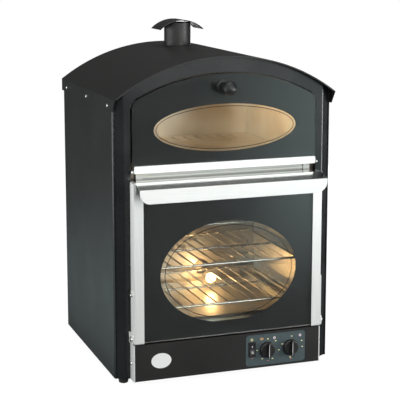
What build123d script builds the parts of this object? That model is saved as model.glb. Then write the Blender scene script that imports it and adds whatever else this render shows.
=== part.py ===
from build123d import *
import math
import os

# Baked potato oven: a counter-top convection oven with a glass drop-down door,
# and above it a lit display compartment with its own arched drop-down door.
# Millimetres. X runs to the viewer's right, Y to the back and Z up. The pieces are
# laid out with Y = 0 on the front face of the columns and Z = 0 on the counter,
# and are moved at the end so that the origin lies under the middle of the oven.

# ---- clearances ----
seam = 0.2            # between pieces that are fixed side by side
free_gap = 0.3        # between a moving piece and what it passes or rests on
run_fit = 0.06        # radial, between a pin or shaft and the hole that turns on it
hole_fit = 0.15       # radial, between a screw and its hole
press_gap = 0.02      # between a fixed bolt or body and the hole or wall it fills
touch = 0.01          # between faces that meet
through = 1.0         # how far a cut runs past the sheet it goes through

# ---- cabinet shell ----
body_width = 510.0
body_depth = 443.0
foot_height = 14.0
foot_top_radius = 12.0
foot_bottom_radius = 10.5
foot_inset_x = 23.0
foot_inset_y = 22.0
stud_radius = 3.0
stud_reach = 7.0
nut_radius = 5.0
nut_height = 4.0
shell_sheet = 1.5
joggle_sheet = 1.5
joggle_length = 16.0
joggle_root = 4.0
crown_margin = 38.0   # from the upper door's crown up to the roof's
roof_rise = 86.0
roof_sheet = 1.5
roof_skirt = 28.0
roof_overhang = 16.5
roof_rear_overhang = 12.5
skirt_cut_back = 19.5
roof_hem = 10.0
roof_screw_front = 41.0
roof_screw_step = 180.0
roof_screw_rear = 36.0
roof_screw_rise = 11.0
flange_width = 40.0
back_flange = 16.0
back_screw_low = 26.0
back_screw_pitch = 190.0
back_screw_drop = 35.0
panel_top_gap = 3.0
tray_wall = 22.0
tray_sheet = 1.2

# ---- front surround ----
column_flat = 15.5
bevel_width = 22.0
column_bevel = 12.0
column_depth = 14.0
bend_radius = 5.0
sill_height = 12.0

# ---- upper door ----
upper_gap = 2.0
upper_door_height = 210.0
upper_arch_radius = 436.0
upper_corner_radius = 31.0
upper_glass_front = -5.0
upper_glass_thickness = 4.0
upper_glass_foot = 2.0
print_thickness = 0.4
print_gap = 0.05
print_margin = 1.0
upper_oval_margin = 49.5
upper_oval_height = 104.0
upper_oval_rise = 91.0
upper_line_inset = 4.5
rail_gap = 17.0       # from the oven door's top up to the rail
rail_inset = 3.1
rail_reach = 4.5
rail_height = 16.0
rail_wall = 1.2
rail_corner = 2.5
rail_end = 2.0
upper_pivot_rise = 3.5
hinge_pin_radius = 2.5
hinge_pin_depth = 5.0
hinge_pin_head_radius = 3.6
hinge_pin_head = 3.6
lug_play = 0.6
lug_thickness = 2.0
lug_radius = 4.6
lug_root = 3.0
upper_knob_x = -7.0
upper_knob_drop = 30.0
upper_knob_radius = 16.0
upper_knob_reach = 36.0
rosette_radius = 16.0
rosette_thickness = 5.0
knob_neck_radius = 9.5
knob_screw_radius = 3.0
knob_hole_radius = 3.5
knob_nut_radius = 6.5
knob_nut_back = 3.0

# ---- lintel between the doors ----
lintel_inset = 7.8
lintel_tab = 15.2
lintel_drop = 4.5
lintel_top_gap = 3.0
lintel_sheet = 1.5
lintel_set_back = 4.0
lintel_tab_reach = 3.4
lintel_fold = 5.0
lintel_fold_reach = 1.6

# ---- lower door ----
door_lap = 2.8        # how far the oven door covers each column
door_under_gap = 2.1
lower_door_height = 357.5
lower_door_depth = 28.5
door_stand = 2.5      # between the door's back and the columns
channel_face = 21.4
channel_sheet = 1.5
channel_rear_lip = 8.0
channel_front_round = 4.0
channel_back_cut = 7.0
lower_glass_thickness = 4.0
lower_glass_foot = 3.5
glass_play = 1.3
lower_print_margin = 0.5
lower_oval_margin = 60.3
lower_oval_height = 230.0
lower_oval_rise = 146.9
lower_line_inset = 9.5
print_line_width = 1.6
inner_glass_thickness = 4.0
inner_glass_play = 1.0
inner_pan_sheet = 1.2
inner_pan_back = 4.4
inner_pan_set_back = 3.5
inner_window_margin = 14.0
inner_window_foot = 9.0
pan_lap = 2.0
pan_foot_lap = 0.5
pan_top_lap = 1.0
pan_foot = 2.0
clip_inset = 60.0
clip_height = 16.0
clip_reach = 8.0
lower_pivot_inset = 9.0
lower_pivot_rise = 12.5
pivot_bolt_radius = 4.0
pivot_head_radius = 6.5
pivot_head = 3.5
pivot_head_round = 1.5
bolt_end_gap = 0.8
arm_sheet = 2.0
arm_depth = 22.0
arm_height = 119.5
arm_edge = 0.5
arm_round = 4.0
arm_bolt_inset = 13.0
arm_bolt_drop = 9.0
arm_bolt_radius = 3.0
arm_bolt_head_radius = 4.5
bracket_sheet = 2.0
bracket_height = 23.5
bracket_round = 6.0
handle_inset = 3.3
handle_sheet = 1.5
handle_projection = 33.0
handle_drop = 10.0
handle_lip = 31.0
handle_corner = 24.0
handle_back_edge = 0.5
handle_front_fold = 26.0

# ---- oven chamber ----
floor_rise = 23.5     # from the oven door's bottom up to the oven's floor
ceiling_gap = 1.5     # from the oven's seal up to the lintel
face_plate_y = 12.0
face_plate_lap = 14.0
liner_sheet = 1.2
plenum_depth = 42.0
gasket_width = 8.0
gasket_offset = 2.0
display_seal_width = 6.0
seal_foot = 4.0
catch_gap = 1.0
fan_radius = 70.0
fan_depth = 24.0
fan_gap = 6.0
fan_hub_radius = 14.0
fan_hub_step = 4.0
fan_blade = 1.5
fan_blades = 8
fan_shaft_radius = 4.0
shaft_depth = 14.0
element_gap = 25.0
element_rod_radius = 4.0
element_leg_x = 14.0
element_tail = 22.0
motor_radius = 42.0
motor_length = 54.0
motor_standoff = 6.0
motor_flange = 13.0
motor_flange_sheet = 3.0
motor_lug_offset = 6.0
motor_lug_radius = 5.0
motor_back_gap = 8.1
grille_margin = 2.0
grille_hole_radius = 4.0
grille_pitch = 15.0
side_slots = 9
side_slot_inset = 26.0
side_slot_rise = 38.0
side_slot_pitch = 30.0
side_slot_length = 24.0
side_slot_height = 6.0

# ---- racks and tray ----
first_rack = 37.0
rack_headroom = 96.0
rack_rod_radius = 2.6
rack_wire_radius = 1.8
rack_weld = 0.6
rack_wire_margin = 18.0
rack_wires = 14
rack_side_play = 2.5
rack_front_gap = 10.0
rack_back_gap = 12.0
runner_sheet = 1.2
runner_ledge = 13.0
runner_front_gap = 18.0
runner_back_gap = 8.0
runner_end_gap = 12.0
guard_gap = 2.5
tray_side_gap = 15.0
tray_front_gap = 12.0
tray_back_gap = 16.0
tray_height = 12.0
tray_grip_width = 100.0
tray_grip = 6.0

# ---- display compartment ----
display_margin = 12.5
display_floor_rise = 15.0
display_arch_inset = 10.0
display_rear_space = 43.0
deck_slots = 11
deck_slot_margin = 55.0
deck_slot_width = 5.0
deck_slot_length = 60.0
deck_slot_gap = 20.0

# ---- flue ----
flue_setback = 113.0
flue_radius = 32.0
flue_wall = 1.5
flue_rise = 53.0
cap_side_reach = 22.0
cap_end_reach = 4.0
cap_drop = 14.0
cap_rise = 21.5
cap_sheet = 1.5
cap_clearance = 0.8
strap_width = 12.0
strap_sheet = 1.5
strap_overlap = 18.0
strap_gap = 0.8

# ---- control box ----
control_inset = 0.8
control_depth = 27.0
control_height = 82.4
control_sheet = 1.5
cheek_thickness = 2.4
cheek_flange = 14.0
cheek_lip = 0.5
cheek_screw_y = -8.0
cheek_screw_rise = 38.0
label_side = 34.5
label_width = 145.0
label_foot = 5.5
label_head = 4.9
label_corner = 8.0
label_thickness = 1.0
badge_side = 60.0
badge_lift = 1.8
badge_width = 46.0
badge_height = 34.0
badge_thickness = 1.5
timer_inset = 37.0
dial_spacing = 57.0
dial_lift = 0.5
dial_radius = 19.0
dial_skirt = 9.0
dial_rim = 1.2
dial_grip = 20.0
dial_grip_width = 5.5
dial_shaft_radius = 3.0
dial_shaft_depth = 12.0
dial_body_size = 36.0
dial_body_depth = 30.0
switch_inset = 15.0
switch_lift = 3.0
bezel_width = 17.0
bezel_height = 35.0
bezel_thickness = 1.5
bezel_lip = 1.0
bezel_end_lip = 1.5
rocker_width = 11.0
rocker_radius = 13.2
rocker_tilt = 6.0
rocker_rise = 3.2
rocker_hollow = 1.8
rocker_pin_radius = 1.2
rocker_set_back = 1.5
switch_body_depth = 20.0

# ---- small pieces ----
screw_radius = 2.0
screw_head_radius = 4.2
screw_head = 2.6
screw_length = 8.0
screw_root = 0.4
screw_slot = 1.0
screw_slot_depth = 0.7
lamp_bulb_radius = 11.0
lamp_hole_radius = 19.0
display_lamp_set_back = 118.0
display_lamp_rise = 72.0
display_lamp_reach = 10.0
oven_lamp_x = 60.0
oven_lamp_rise = 43.0
oven_lamp_reach = 14.0
holder_radius = 14.0
holder_length = 16.0
holder_back = 18.0
holder_flange_radius = 18.0
holder_flange = 3.0
holder_neck = 8.0
gland_inset = 65.0
gland_rise = 46.0
gland_radius = 11.0
gland_neck_radius = 8.8
gland_bore_radius = 4.5
gland_reach = 14.0
gland_inside = 10.0
gland_hex = 6.0
gland_nut = 5.0
insulation_thickness = 40.0
insulation_end_gap = 2.0
louvre_length = 70.0
louvre_height = 4.0
louvre_pitch = 12.0
louvre_rows = 9
catch_width = 4.2
catch_height = 25.0
catch_play = 0.7
catch_side_gap = 0.6
crown_catch_width = 40.0
crown_catch_height = 8.0
crown_catch_rise = 1.0

# ---- widths that follow ----
body_half = body_width / 2
side_inner = body_half - shell_sheet
column_edge = body_half - bevel_width
opening_half = column_edge - column_flat
mouth_margin = gasket_offset + gasket_width + pan_lap + catch_side_gap + catch_width + catch_play
oven_half = opening_half - mouth_margin
display_half = opening_half - display_margin
display_corner = upper_corner_radius - display_arch_inset
upper_door_half = opening_half - upper_gap
upper_oval_width = 2 * (upper_door_half - upper_oval_margin)
rail_half_width = upper_door_half - rail_inset
lintel_half_width = rail_half_width - lintel_inset
door_half = opening_half + door_lap
strip_inner = door_half - channel_face
glass_half = door_half - channel_sheet - glass_play
lower_oval_width = 2 * (door_half - lower_oval_margin)
arm_inner = door_half + seam
arm_outer = arm_inner + arm_sheet
bracket_inner = arm_outer + free_gap + seam
bracket_outer = bracket_inner + bracket_sheet
handle_half_width = door_half - handle_inset
control_half_width = door_half - control_inset
label_right = control_half_width - label_side
label_left = label_right - label_width
badge_x = badge_side - control_half_width
timer_x = label_right - timer_inset
dial_x = {"thermostat_knob": timer_x - dial_spacing, "timer_knob": timer_x}
switch_x = label_left + switch_inset
rack_half_width = oven_half - seam - runner_sheet - rack_side_play - rack_rod_radius
rack_wire_pitch = 2 * (rack_half_width - rack_wire_margin) / (rack_wires - 1)
tray_half_width = oven_half - tray_side_gap
deck_slot_pitch = 2 * (display_half - deck_slot_margin) / (deck_slots - 1)
gland_x = gland_inset - body_half

# ---- depths that follow ----
plate_back_y = face_plate_y + liner_sheet
back_inner_y = body_depth - shell_sheet
motor_back = back_inner_y - motor_back_gap
oven_back_y = motor_back - motor_length - motor_standoff - liner_sheet - seam
baffle_y = oven_back_y - plenum_depth
display_back_y = body_depth - display_rear_space
flue_y = body_depth - flue_setback
upper_glass_back = upper_glass_front + upper_glass_thickness
upper_print_back = upper_glass_back + print_gap + print_thickness
upper_pivot_y = upper_glass_front
rail_front = upper_glass_front - rail_reach
lintel_face = face_plate_y - lintel_set_back
lintel_tab_face = lintel_face - lintel_tab_reach
lower_door_back = -door_stand
lower_door_front = lower_door_back - lower_door_depth
lower_glass_front = lower_door_front + channel_sheet + free_gap
lower_glass_back = lower_glass_front + lower_glass_thickness
lower_print_back = lower_glass_back + print_gap + print_thickness
inner_pan_flange = lower_door_back - inner_pan_set_back
lower_pivot_y = lower_door_front + lower_pivot_inset
arm_bolt_y = lower_door_front + arm_bolt_inset
handle_reach = handle_projection - lower_door_front
control_front = -control_depth
label_face = control_front - label_thickness
rack_front = face_plate_y + rack_front_gap
rack_back = baffle_y - rack_back_gap
runner_front = face_plate_y + runner_front_gap
runner_back = baffle_y - runner_back_gap
tray_front = face_plate_y + tray_front_gap
tray_back = baffle_y - tray_back_gap
display_lamp_y = face_plate_y + display_lamp_set_back
roof_front_y = -roof_overhang
roof_back_y = body_depth + roof_rear_overhang
screw_rows_y = [roof_screw_front, roof_screw_front + roof_screw_step, body_depth - roof_screw_rear]
oven_back_most = max(body_depth + gland_reach, roof_back_y)
oven_front_most = -handle_reach - handle_sheet
middle_y = (oven_back_most + oven_front_most) / 2

# ---- heights that follow ----
tray_bottom = foot_height + shell_sheet + seam
control_top = foot_height + control_height
cheek_screw_z = foot_height + cheek_screw_rise
label_bottom = foot_height + label_foot
label_top = control_top - label_head
badge_z = (foot_height + control_top) / 2 + badge_lift
dial_z = (label_bottom + label_top) / 2 + dial_lift
switch_z = (label_bottom + label_top) / 2 + switch_lift
gland_z = foot_height + gland_rise
lower_door_bottom = control_top + door_under_gap
lower_door_top = lower_door_bottom + lower_door_height
lower_glass_bottom = lower_door_bottom + lower_glass_foot
lower_oval_z = lower_door_bottom + lower_oval_rise
lower_pivot_z = lower_door_bottom + lower_pivot_rise
arm_top = lower_door_bottom + arm_height
arm_bolt_z = arm_top - arm_bolt_drop
lintel_bottom = lower_door_top - lintel_drop
oven_floor_top = lower_door_bottom + floor_rise
oven_ceiling = lintel_bottom - ceiling_gap - gasket_width - gasket_offset
fan_z = (oven_floor_top + oven_ceiling) / 2
oven_lamp_z = oven_floor_top + oven_lamp_rise
runner_bottom = oven_floor_top + runner_end_gap
runner_top = oven_ceiling - runner_end_gap
lowest_rack = oven_floor_top + first_rack
highest_rack = oven_ceiling - rack_headroom
rack_levels = {"lower_rack": lowest_rack, "middle_rack": (lowest_rack + highest_rack) / 2,
               "upper_rack": highest_rack}
rail_bottom = lower_door_top + rail_gap
upper_pivot_z = rail_bottom + upper_pivot_rise
upper_glass_bottom = upper_pivot_z + lug_radius + upper_glass_foot
upper_oval_z = rail_bottom + upper_oval_rise
upper_door_apex = rail_bottom + upper_door_height
upper_knob_z = upper_door_apex - upper_knob_drop
arch_centre_z = upper_door_apex - upper_arch_radius
display_floor_top = rail_bottom + display_floor_rise
display_lamp_z = display_floor_top + display_lamp_rise
roof_apex = upper_door_apex + crown_margin
eave_height = roof_apex - roof_rise
panel_top = eave_height - panel_top_gap
roof_screw_z = eave_height - roof_skirt + roof_screw_rise
roof_half = body_half + seam + roof_sheet
roof_radius = (roof_half ** 2 + roof_rise ** 2) / (2 * roof_rise)
roof_centre_z = roof_apex - roof_radius
roof_under_radius = roof_radius - roof_sheet - seam
flue_top = roof_apex + flue_rise
cap_tip = flue_top - cap_drop
cap_crown = cap_tip + cap_rise
cap_half_width = flue_radius + cap_side_reach
cap_depth = 2 * (flue_radius + cap_end_reach)
element_ring_radius = fan_radius + element_gap
grille_radius = fan_radius + grille_margin


# ---- shapes ----
def block(x0, x1, y0, y1, z0, z1):
    """Box between two corners."""
    size = Box(x1 - x0, y1 - y0, z1 - z0)
    return Pos((x0 + x1) / 2, (y0 + y1) / 2, (z0 + z1) / 2) * size


def slab(face, y0, y1):
    """A face drawn with x as X and y as Z, made into a plate from y0 to y1."""
    return Pos(0, y1, 0) * Rot(90, 0, 0) * extrude(face, y1 - y0)


def along_x(face, x0, x1):
    """A section drawn with x as Y and y as Z, carried from x0 to x1."""
    return Pos(x0, 0, 0) * Plane.YZ.location * extrude(face, x1 - x0)


def along_z(face, z0, z1):
    """A section drawn in plan, carried from z0 to z1."""
    return Pos(0, 0, z0) * extrude(face, z1 - z0)


def rod_x(radius, x0, x1, y, z):
    """Round bar along X."""
    return Pos((x0 + x1) / 2, y, z) * Rot(0, 90, 0) * Cylinder(radius, x1 - x0)


def rod_y(radius, x, y0, y1, z):
    """Round bar along Y."""
    return Pos(x, (y0 + y1) / 2, z) * Rot(90, 0, 0) * Cylinder(radius, y1 - y0)


def rod_z(radius, x, y, z0, z1):
    """Round bar along Z."""
    return Pos(x, y, (z0 + z1) / 2) * Cylinder(radius, z1 - z0)


def mirrored(shape):
    """The same shape on the other side of the middle plane."""
    return mirror(shape, about=Plane.YZ)


def group(*solids):
    """Separate solids that share one node."""
    return Compound(children=list(solids))


def rectangle(x0, x1, z0, z1):
    """Flat rectangle between two corners."""
    return Pos((x0 + x1) / 2, (z0 + z1) / 2) * Rectangle(x1 - x0, z1 - z0)


def arched(half_width, bottom, radius, corner):
    """Upright outline with an arched top about the door's arch centre."""
    top = arch_centre_z + radius
    outline = rectangle(-half_width, half_width, bottom, top)
    outline &= Pos(0, arch_centre_z) * Circle(radius)
    shoulders = outline.vertices().sort_by(Axis.Y)[-2:]
    return fillet(shoulders, corner)


def under_roof(y0, y1, drop=0.0):
    """Everything below the underside of the roof, less a drop."""
    radius = roof_under_radius - drop
    return slab(Pos(0, roof_centre_z) * Circle(radius), y0, y1)


def ellipse_face(width, height, z, x=0.0):
    """Flat oval."""
    return Pos(x, z) * Ellipse(width / 2, height / 2)


# ---- cabinet shell ----
def base_tray():
    """Folded pan that closes the bottom and carries the feet."""
    half = side_inner - joggle_sheet - 2 * seam
    front = column_depth + seam
    back = back_inner_y - shell_sheet - 2 * seam
    tray = block(-half, half, front, back, tray_bottom, tray_bottom + tray_wall)
    tray -= block(-half + tray_sheet, half - tray_sheet, front + tray_sheet, back - tray_sheet,
                  tray_bottom + tray_sheet, tray_bottom + tray_wall + through)
    for x, y in foot_places():
        tray -= rod_z(stud_radius + hole_fit, x, y, tray_bottom - through,
                      tray_bottom + tray_sheet + through)
    return tray


def foot_places():
    """Centres of the four feet."""
    x = body_half - foot_inset_x
    return [(sx * x, y) for sx in (-1, 1) for y in (foot_inset_y, body_depth - foot_inset_y)]


def feet():
    """Four tapered rubber feet on threaded studs with their nuts."""
    solids = []
    nut_bottom = tray_bottom + tray_sheet + seam
    for x, y in foot_places():
        cone = Cone(foot_bottom_radius, foot_top_radius, foot_height)
        foot = Pos(x, y, foot_height / 2) * cone
        foot += rod_z(stud_radius, x, y, foot_height - through, nut_bottom + stud_reach)
        foot += Pos(x, y, nut_bottom) * extrude(RegularPolygon(nut_radius, 6), nut_height)
        solids.append(foot)
    return group(*solids)


def right_side_panel():
    """Flat side with flanges folded in at the bottom and the back."""
    front = column_depth + seam
    panel = block(side_inner, body_half, front, body_depth, foot_height, panel_top)
    panel += block(body_half - flange_width, body_half, front, back_inner_y - seam,
                   foot_height, foot_height + shell_sheet)
    panel += block(body_half - back_flange, body_half, back_inner_y - shell_sheet - seam,
                   back_inner_y - seam, foot_height, panel_top - back_flange)
    panel -= block(side_inner - joggle_sheet - 2 * seam, side_inner, 0, column_bevel + joggle_length + seam,
                   foot_height - through, foot_height + shell_sheet + through)
    for x, z in back_screw_places():
        panel -= rod_y(screw_radius + hole_fit, x, back_inner_y - 2 * shell_sheet - seam,
                       back_inner_y + through, z)
    for y in screw_rows_y:
        panel -= rod_x(screw_radius + hole_fit, side_inner - through, body_half + through, y, roof_screw_z)
    for x, y in foot_places():
        panel -= rod_z(stud_radius + hole_fit, x, y, foot_height - through,
                       foot_height + shell_sheet + through)
    return panel


def back_panel():
    """Arched rear sheet with louvre slots level with the fan motor."""
    width = side_inner - seam
    sheet = block(-width, width, back_inner_y, body_depth, foot_height, roof_apex)
    sheet &= under_roof(back_inner_y - through, body_depth + through)
    span = (louvre_rows - 1) * louvre_pitch
    for side in (-1, 1):
        for row in range(louvre_rows):
            z = fan_z - span / 2 + row * louvre_pitch
            x = side * (motor_radius + louvre_length)
            slot = Pos(x, z) * SlotOverall(louvre_length, louvre_height)
            sheet -= slab(slot, back_inner_y - through, body_depth + through)
    sheet -= rod_y(gland_neck_radius + hole_fit, gland_x, back_inner_y - through, body_depth + through,
                   gland_z)
    for x, z in back_screw_places():
        sheet -= rod_y(screw_radius + hole_fit, x, back_inner_y - through, body_depth + through, z)
    return sheet


def back_screw_places():
    """Screws down both edges of the back panel."""
    x = side_inner - back_flange / 2
    low = foot_height + back_screw_low
    high = eave_height - back_screw_drop
    heights = [low, low + back_screw_pitch, low + 2 * back_screw_pitch, high]
    return [(side * x, z) for side in (-1, 1) for z in heights]


def front_frame():
    """Enamelled surround: two bevelled columns joined by an arch and a sill."""
    open_end = 3 * column_depth
    plan = make_face(Polyline((opening_half, 0), (column_edge, 0), (body_half, column_bevel),
                              (body_half, open_end), (opening_half, open_end), close=True))
    edge_bend = plan.vertices().sort_by_distance((column_edge, 0, 0))[0]
    plan = fillet(edge_bend, bend_radius)
    side_bend = plan.vertices().sort_by_distance((body_half, column_bevel, 0))[0]
    plan = fillet(side_bend, bend_radius)
    hollow = offset(plan, -shell_sheet)
    sheet = plan - hollow
    sheet -= rectangle(0, body_width, column_depth, open_end + through)
    joggle = rectangle(side_inner - joggle_sheet - seam / 2, side_inner - seam / 2,
                       column_bevel - joggle_root, column_bevel + joggle_length)
    column = along_z(sheet + joggle, foot_height, roof_apex)
    mouth = arched(opening_half, foot_height + sill_height, upper_arch_radius + upper_gap,
                   upper_corner_radius + upper_gap)
    rim = arched(opening_half + shell_sheet, foot_height + sill_height - shell_sheet,
                 upper_arch_radius + upper_gap + shell_sheet,
                 upper_corner_radius + upper_gap + shell_sheet)
    face = rectangle(-column_edge + shell_sheet, column_edge - shell_sheet, foot_height, roof_apex)
    frame = column + mirrored(column)
    frame += slab(face - mouth, 0, shell_sheet)
    frame += slab(rim - mouth, 0, column_depth)
    frame &= under_roof(-through, open_end)
    return frame


def roof_panel():
    """Curved roof sheet with a skirt down each side and a hemmed front edge."""
    bottom = eave_height - roof_skirt
    outer = rectangle(-roof_half, roof_half, bottom, roof_apex)
    outer &= Pos(0, roof_centre_z) * Circle(roof_radius)
    inner_half = roof_half - roof_sheet
    inner = rectangle(-inner_half, inner_half, bottom - through, roof_apex)
    inner &= Pos(0, roof_centre_z) * Circle(roof_radius - roof_sheet)
    roof = slab(outer - inner, roof_front_y, roof_back_y)
    ring = Pos(0, roof_centre_z) * Circle(roof_radius - roof_sheet / 2)
    ring -= Pos(0, roof_centre_z) * Circle(roof_radius - 2 * roof_sheet)
    ring &= rectangle(-inner_half - roof_sheet / 3, inner_half + roof_sheet / 3, eave_height, roof_apex)
    roof += slab(ring, roof_front_y, roof_front_y + roof_hem)
    cut = make_face(Polyline((roof_front_y - through, eave_height), (roof_front_y, eave_height),
                             (roof_front_y + skirt_cut_back, bottom - through),
                             (roof_front_y - through, bottom - through), close=True))
    roof -= along_x(cut, -roof_half - through, roof_half + through)
    roof -= rod_z(flue_radius + free_gap, 0, flue_y, eave_height, flue_top)
    for side in (-1, 1):
        for y in screw_rows_y:
            low, high = sorted((side * (inner_half - through), side * (roof_half + through)))
            roof -= rod_x(screw_radius + hole_fit, low, high, y, roof_screw_z)
    return roof


def panel_screw():
    """Pan-head screw along +Z, its head's underside at the origin."""
    dome_radius = screw_head_radius * 1.25
    head = rod_z(screw_head_radius, 0, 0, 0, screw_head)
    head &= Pos(0, 0, screw_head - dome_radius) * Sphere(dome_radius)
    shank = rod_z(screw_radius, 0, 0, -screw_length, screw_root)
    slot = Pos(0, 0, screw_head) * Box(screw_slot, screw_head_radius * 1.6, 2 * screw_slot_depth)
    return head + shank - slot


def cheek_outer():
    """Outer face of a cheek."""
    return control_half_width + seam + cheek_thickness


def panel_screws():
    """The identical screws of the roof, the back and the cheeks."""
    screw = panel_screw()
    solids = []
    for y in screw_rows_y:
        solids.append(Pos(roof_half, y, roof_screw_z) * Rot(0, 90, 0) * screw)
        solids.append(Pos(-roof_half, y, roof_screw_z) * Rot(0, -90, 0) * screw)
    for x, z in back_screw_places():
        solids.append(Pos(x, body_depth, z) * Rot(-90, 0, 0) * screw)
    for side in (-1, 1):
        place = Pos(side * cheek_outer(), cheek_screw_y, cheek_screw_z)
        solids.append(place * Rot(0, side * 90, 0) * screw)
    return group(*solids)


# ---- flue ----
def display_ceiling_z():
    """Top of the display compartment's arched sheet on the middle plane."""
    return upper_door_apex - display_arch_inset + liner_sheet


def flue_pipe():
    """Steam outlet through the roof, cut below to the display's ceiling and above to the cap."""
    ceiling = upper_arch_radius - display_arch_inset + liner_sheet + seam
    low = display_ceiling_z() - flue_radius / 3
    front, back = flue_y - cap_depth, flue_y + cap_depth
    pipe = rod_z(flue_radius, 0, flue_y, low, flue_top)
    pipe -= rod_z(flue_radius - flue_wall, 0, flue_y, low - through, flue_top + through)
    pipe -= slab(Pos(0, arch_centre_z) * Circle(ceiling), front, back)
    under_cap = cap_radius() - cap_sheet - cap_clearance
    pipe &= slab(Pos(0, cap_crown - cap_radius()) * Circle(under_cap), front, back)
    return pipe


def cap_radius():
    """Radius of the cap's outer curve, from its tips and crown."""
    rise = cap_crown - cap_tip
    return (cap_half_width ** 2 + rise ** 2) / (2 * rise)


def cap_straps():
    """Two strips inside the pipe that hold the cap above it."""
    inner = flue_radius - flue_wall - strap_gap - strap_sheet
    radius = cap_radius() - cap_sheet
    strap = block(inner, inner + strap_sheet, flue_y - strap_width / 2, flue_y + strap_width / 2,
                  flue_top - strap_overlap, cap_crown)
    centre = cap_crown - cap_radius()
    strap &= slab(Pos(0, centre) * Circle(radius - seam), flue_y - strap_width, flue_y + strap_width)
    return group(strap, mirrored(strap))


def flue_cap():
    """Curved rain cap over the pipe."""
    centre = cap_crown - cap_radius()
    section = Pos(0, centre) * Circle(cap_radius())
    section -= Pos(0, centre) * Circle(cap_radius() - cap_sheet)
    section &= rectangle(-cap_half_width, cap_half_width, cap_tip - cap_sheet, cap_crown + through)
    return slab(section, flue_y - cap_depth / 2, flue_y + cap_depth / 2)


# ---- chamber liners ----
def face_plate():
    """Stainless plate behind the doors with the two chamber mouths."""
    outline = arched(opening_half - free_gap, control_top - face_plate_lap,
                     upper_arch_radius + upper_gap - free_gap, upper_corner_radius + upper_gap)
    outline -= rectangle(-oven_half, oven_half, oven_floor_top, oven_ceiling)
    outline -= display_outline(0)
    return slab(outline, face_plate_y, plate_back_y)


def display_outline(grow):
    """Arched section of the display compartment, grown outwards by a sheet."""
    return arched(display_half + grow, display_floor_top - grow,
                  upper_arch_radius - display_arch_inset + grow, display_corner + grow)


def below_display():
    """Region under the display's floor, where its sheets stop."""
    return rectangle(-display_half - 2 * liner_sheet, display_half + 2 * liner_sheet,
                     display_floor_top - 2 * liner_sheet, display_floor_top)


def display_wrap():
    """Arched sheet that forms the display compartment's sides and ceiling."""
    wall = display_outline(liner_sheet) - display_outline(0)
    wall -= below_display()
    wrap = slab(wall, plate_back_y + seam, display_back_y)
    wrap -= rod_z(flue_radius - flue_wall, 0, flue_y, display_lamp_z, flue_top)
    wrap -= rod_x(lamp_hole_radius, -display_half - 2 * liner_sheet, -display_half + through, display_lamp_y,
                  display_lamp_z)
    return wrap


def display_back():
    """Rear wall of the display compartment."""
    outline = display_outline(liner_sheet) - below_display()
    return slab(outline, display_back_y + seam, display_back_y + seam + liner_sheet)


def display_deck():
    """Floor of the display compartment with a row of heat slots at the back."""
    top = display_floor_top - seam
    deck = block(-display_half, display_half, plate_back_y + seam, display_back_y,
                 top - liner_sheet, top)
    for index in range(deck_slots):
        x = (index - (deck_slots - 1) / 2) * deck_slot_pitch
        y = display_back_y - deck_slot_gap - deck_slot_length / 2
        deck -= block(x - deck_slot_width / 2, x + deck_slot_width / 2, y - deck_slot_length / 2,
                      y + deck_slot_length / 2, top - liner_sheet - through, top + through)
    return deck


def oven_wrap():
    """Folded sheet that forms the oven chamber's sides and ceiling."""
    outer = rectangle(-oven_half - liner_sheet, oven_half + liner_sheet, oven_floor_top,
                      oven_ceiling + liner_sheet)
    inner = rectangle(-oven_half, oven_half, oven_floor_top - through, oven_ceiling)
    return slab(outer - inner, plate_back_y + seam, oven_back_y)


def oven_floor():
    """Floor sheet of the oven chamber, folded down at the front."""
    top = oven_floor_top - seam
    return block(-oven_half - liner_sheet, oven_half + liner_sheet, plate_back_y + seam, oven_back_y,
                 top - liner_sheet, top)


def oven_back():
    """Rear wall behind the fan, drilled for the shaft, the element and the lamp."""
    sheet = block(-oven_half, oven_half, oven_back_y + seam, oven_back_y + seam + liner_sheet,
                  oven_floor_top, oven_ceiling)
    front = oven_back_y - through
    back = oven_back_y + seam + liner_sheet + through
    sheet -= rod_y(fan_shaft_radius + 2, 0, front, back, fan_z)
    for x in element_leg_places():
        sheet -= rod_y(element_rod_radius + free_gap, x, front, back, element_leg_z())
    sheet -= rod_y(lamp_bulb_radius + 1, oven_lamp_x, front, back, oven_lamp_z)
    return sheet


def fan_baffle():
    """Perforated guard in front of the fan, with side slots that blow the hot air."""
    steps = int(grille_radius / grille_pitch)
    holes = []
    for i in range(-steps, steps + 1):
        for j in range(-steps, steps + 1):
            x, z = i * grille_pitch, j * grille_pitch
            if math.hypot(x, z) <= grille_radius:
                holes.append(Pos(x, fan_z + z) * Circle(grille_hole_radius))
    for side in (-1, 1):
        for row in range(side_slots):
            z = oven_floor_top + side_slot_rise + row * side_slot_pitch
            slot = SlotOverall(side_slot_length, side_slot_height)
            holes.append(Pos(side * (oven_half - side_slot_inset), z) * slot)
    holes.append(Pos(oven_lamp_x, oven_lamp_z) * Circle(lamp_hole_radius))
    face = rectangle(-oven_half + seam, oven_half - seam, oven_floor_top + seam, oven_ceiling - seam)
    return slab(face - holes, baffle_y, baffle_y + liner_sheet)


def side_insulation():
    """Mineral wool slabs between the oven chamber and the side panels."""
    inner = oven_half + liner_sheet + free_gap
    slab_right = block(inner, inner + insulation_thickness, plate_back_y + insulation_end_gap,
                       oven_back_y - insulation_end_gap, oven_floor_top, oven_ceiling)
    return group(slab_right, mirrored(slab_right))


def top_insulation():
    """Mineral wool slab between the oven chamber and the display deck."""
    bottom = oven_ceiling + liner_sheet + free_gap
    top = display_floor_top - seam - liner_sheet - free_gap
    return block(-oven_half, oven_half, plate_back_y + insulation_end_gap,
                 oven_back_y - insulation_end_gap, bottom, top)


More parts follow.
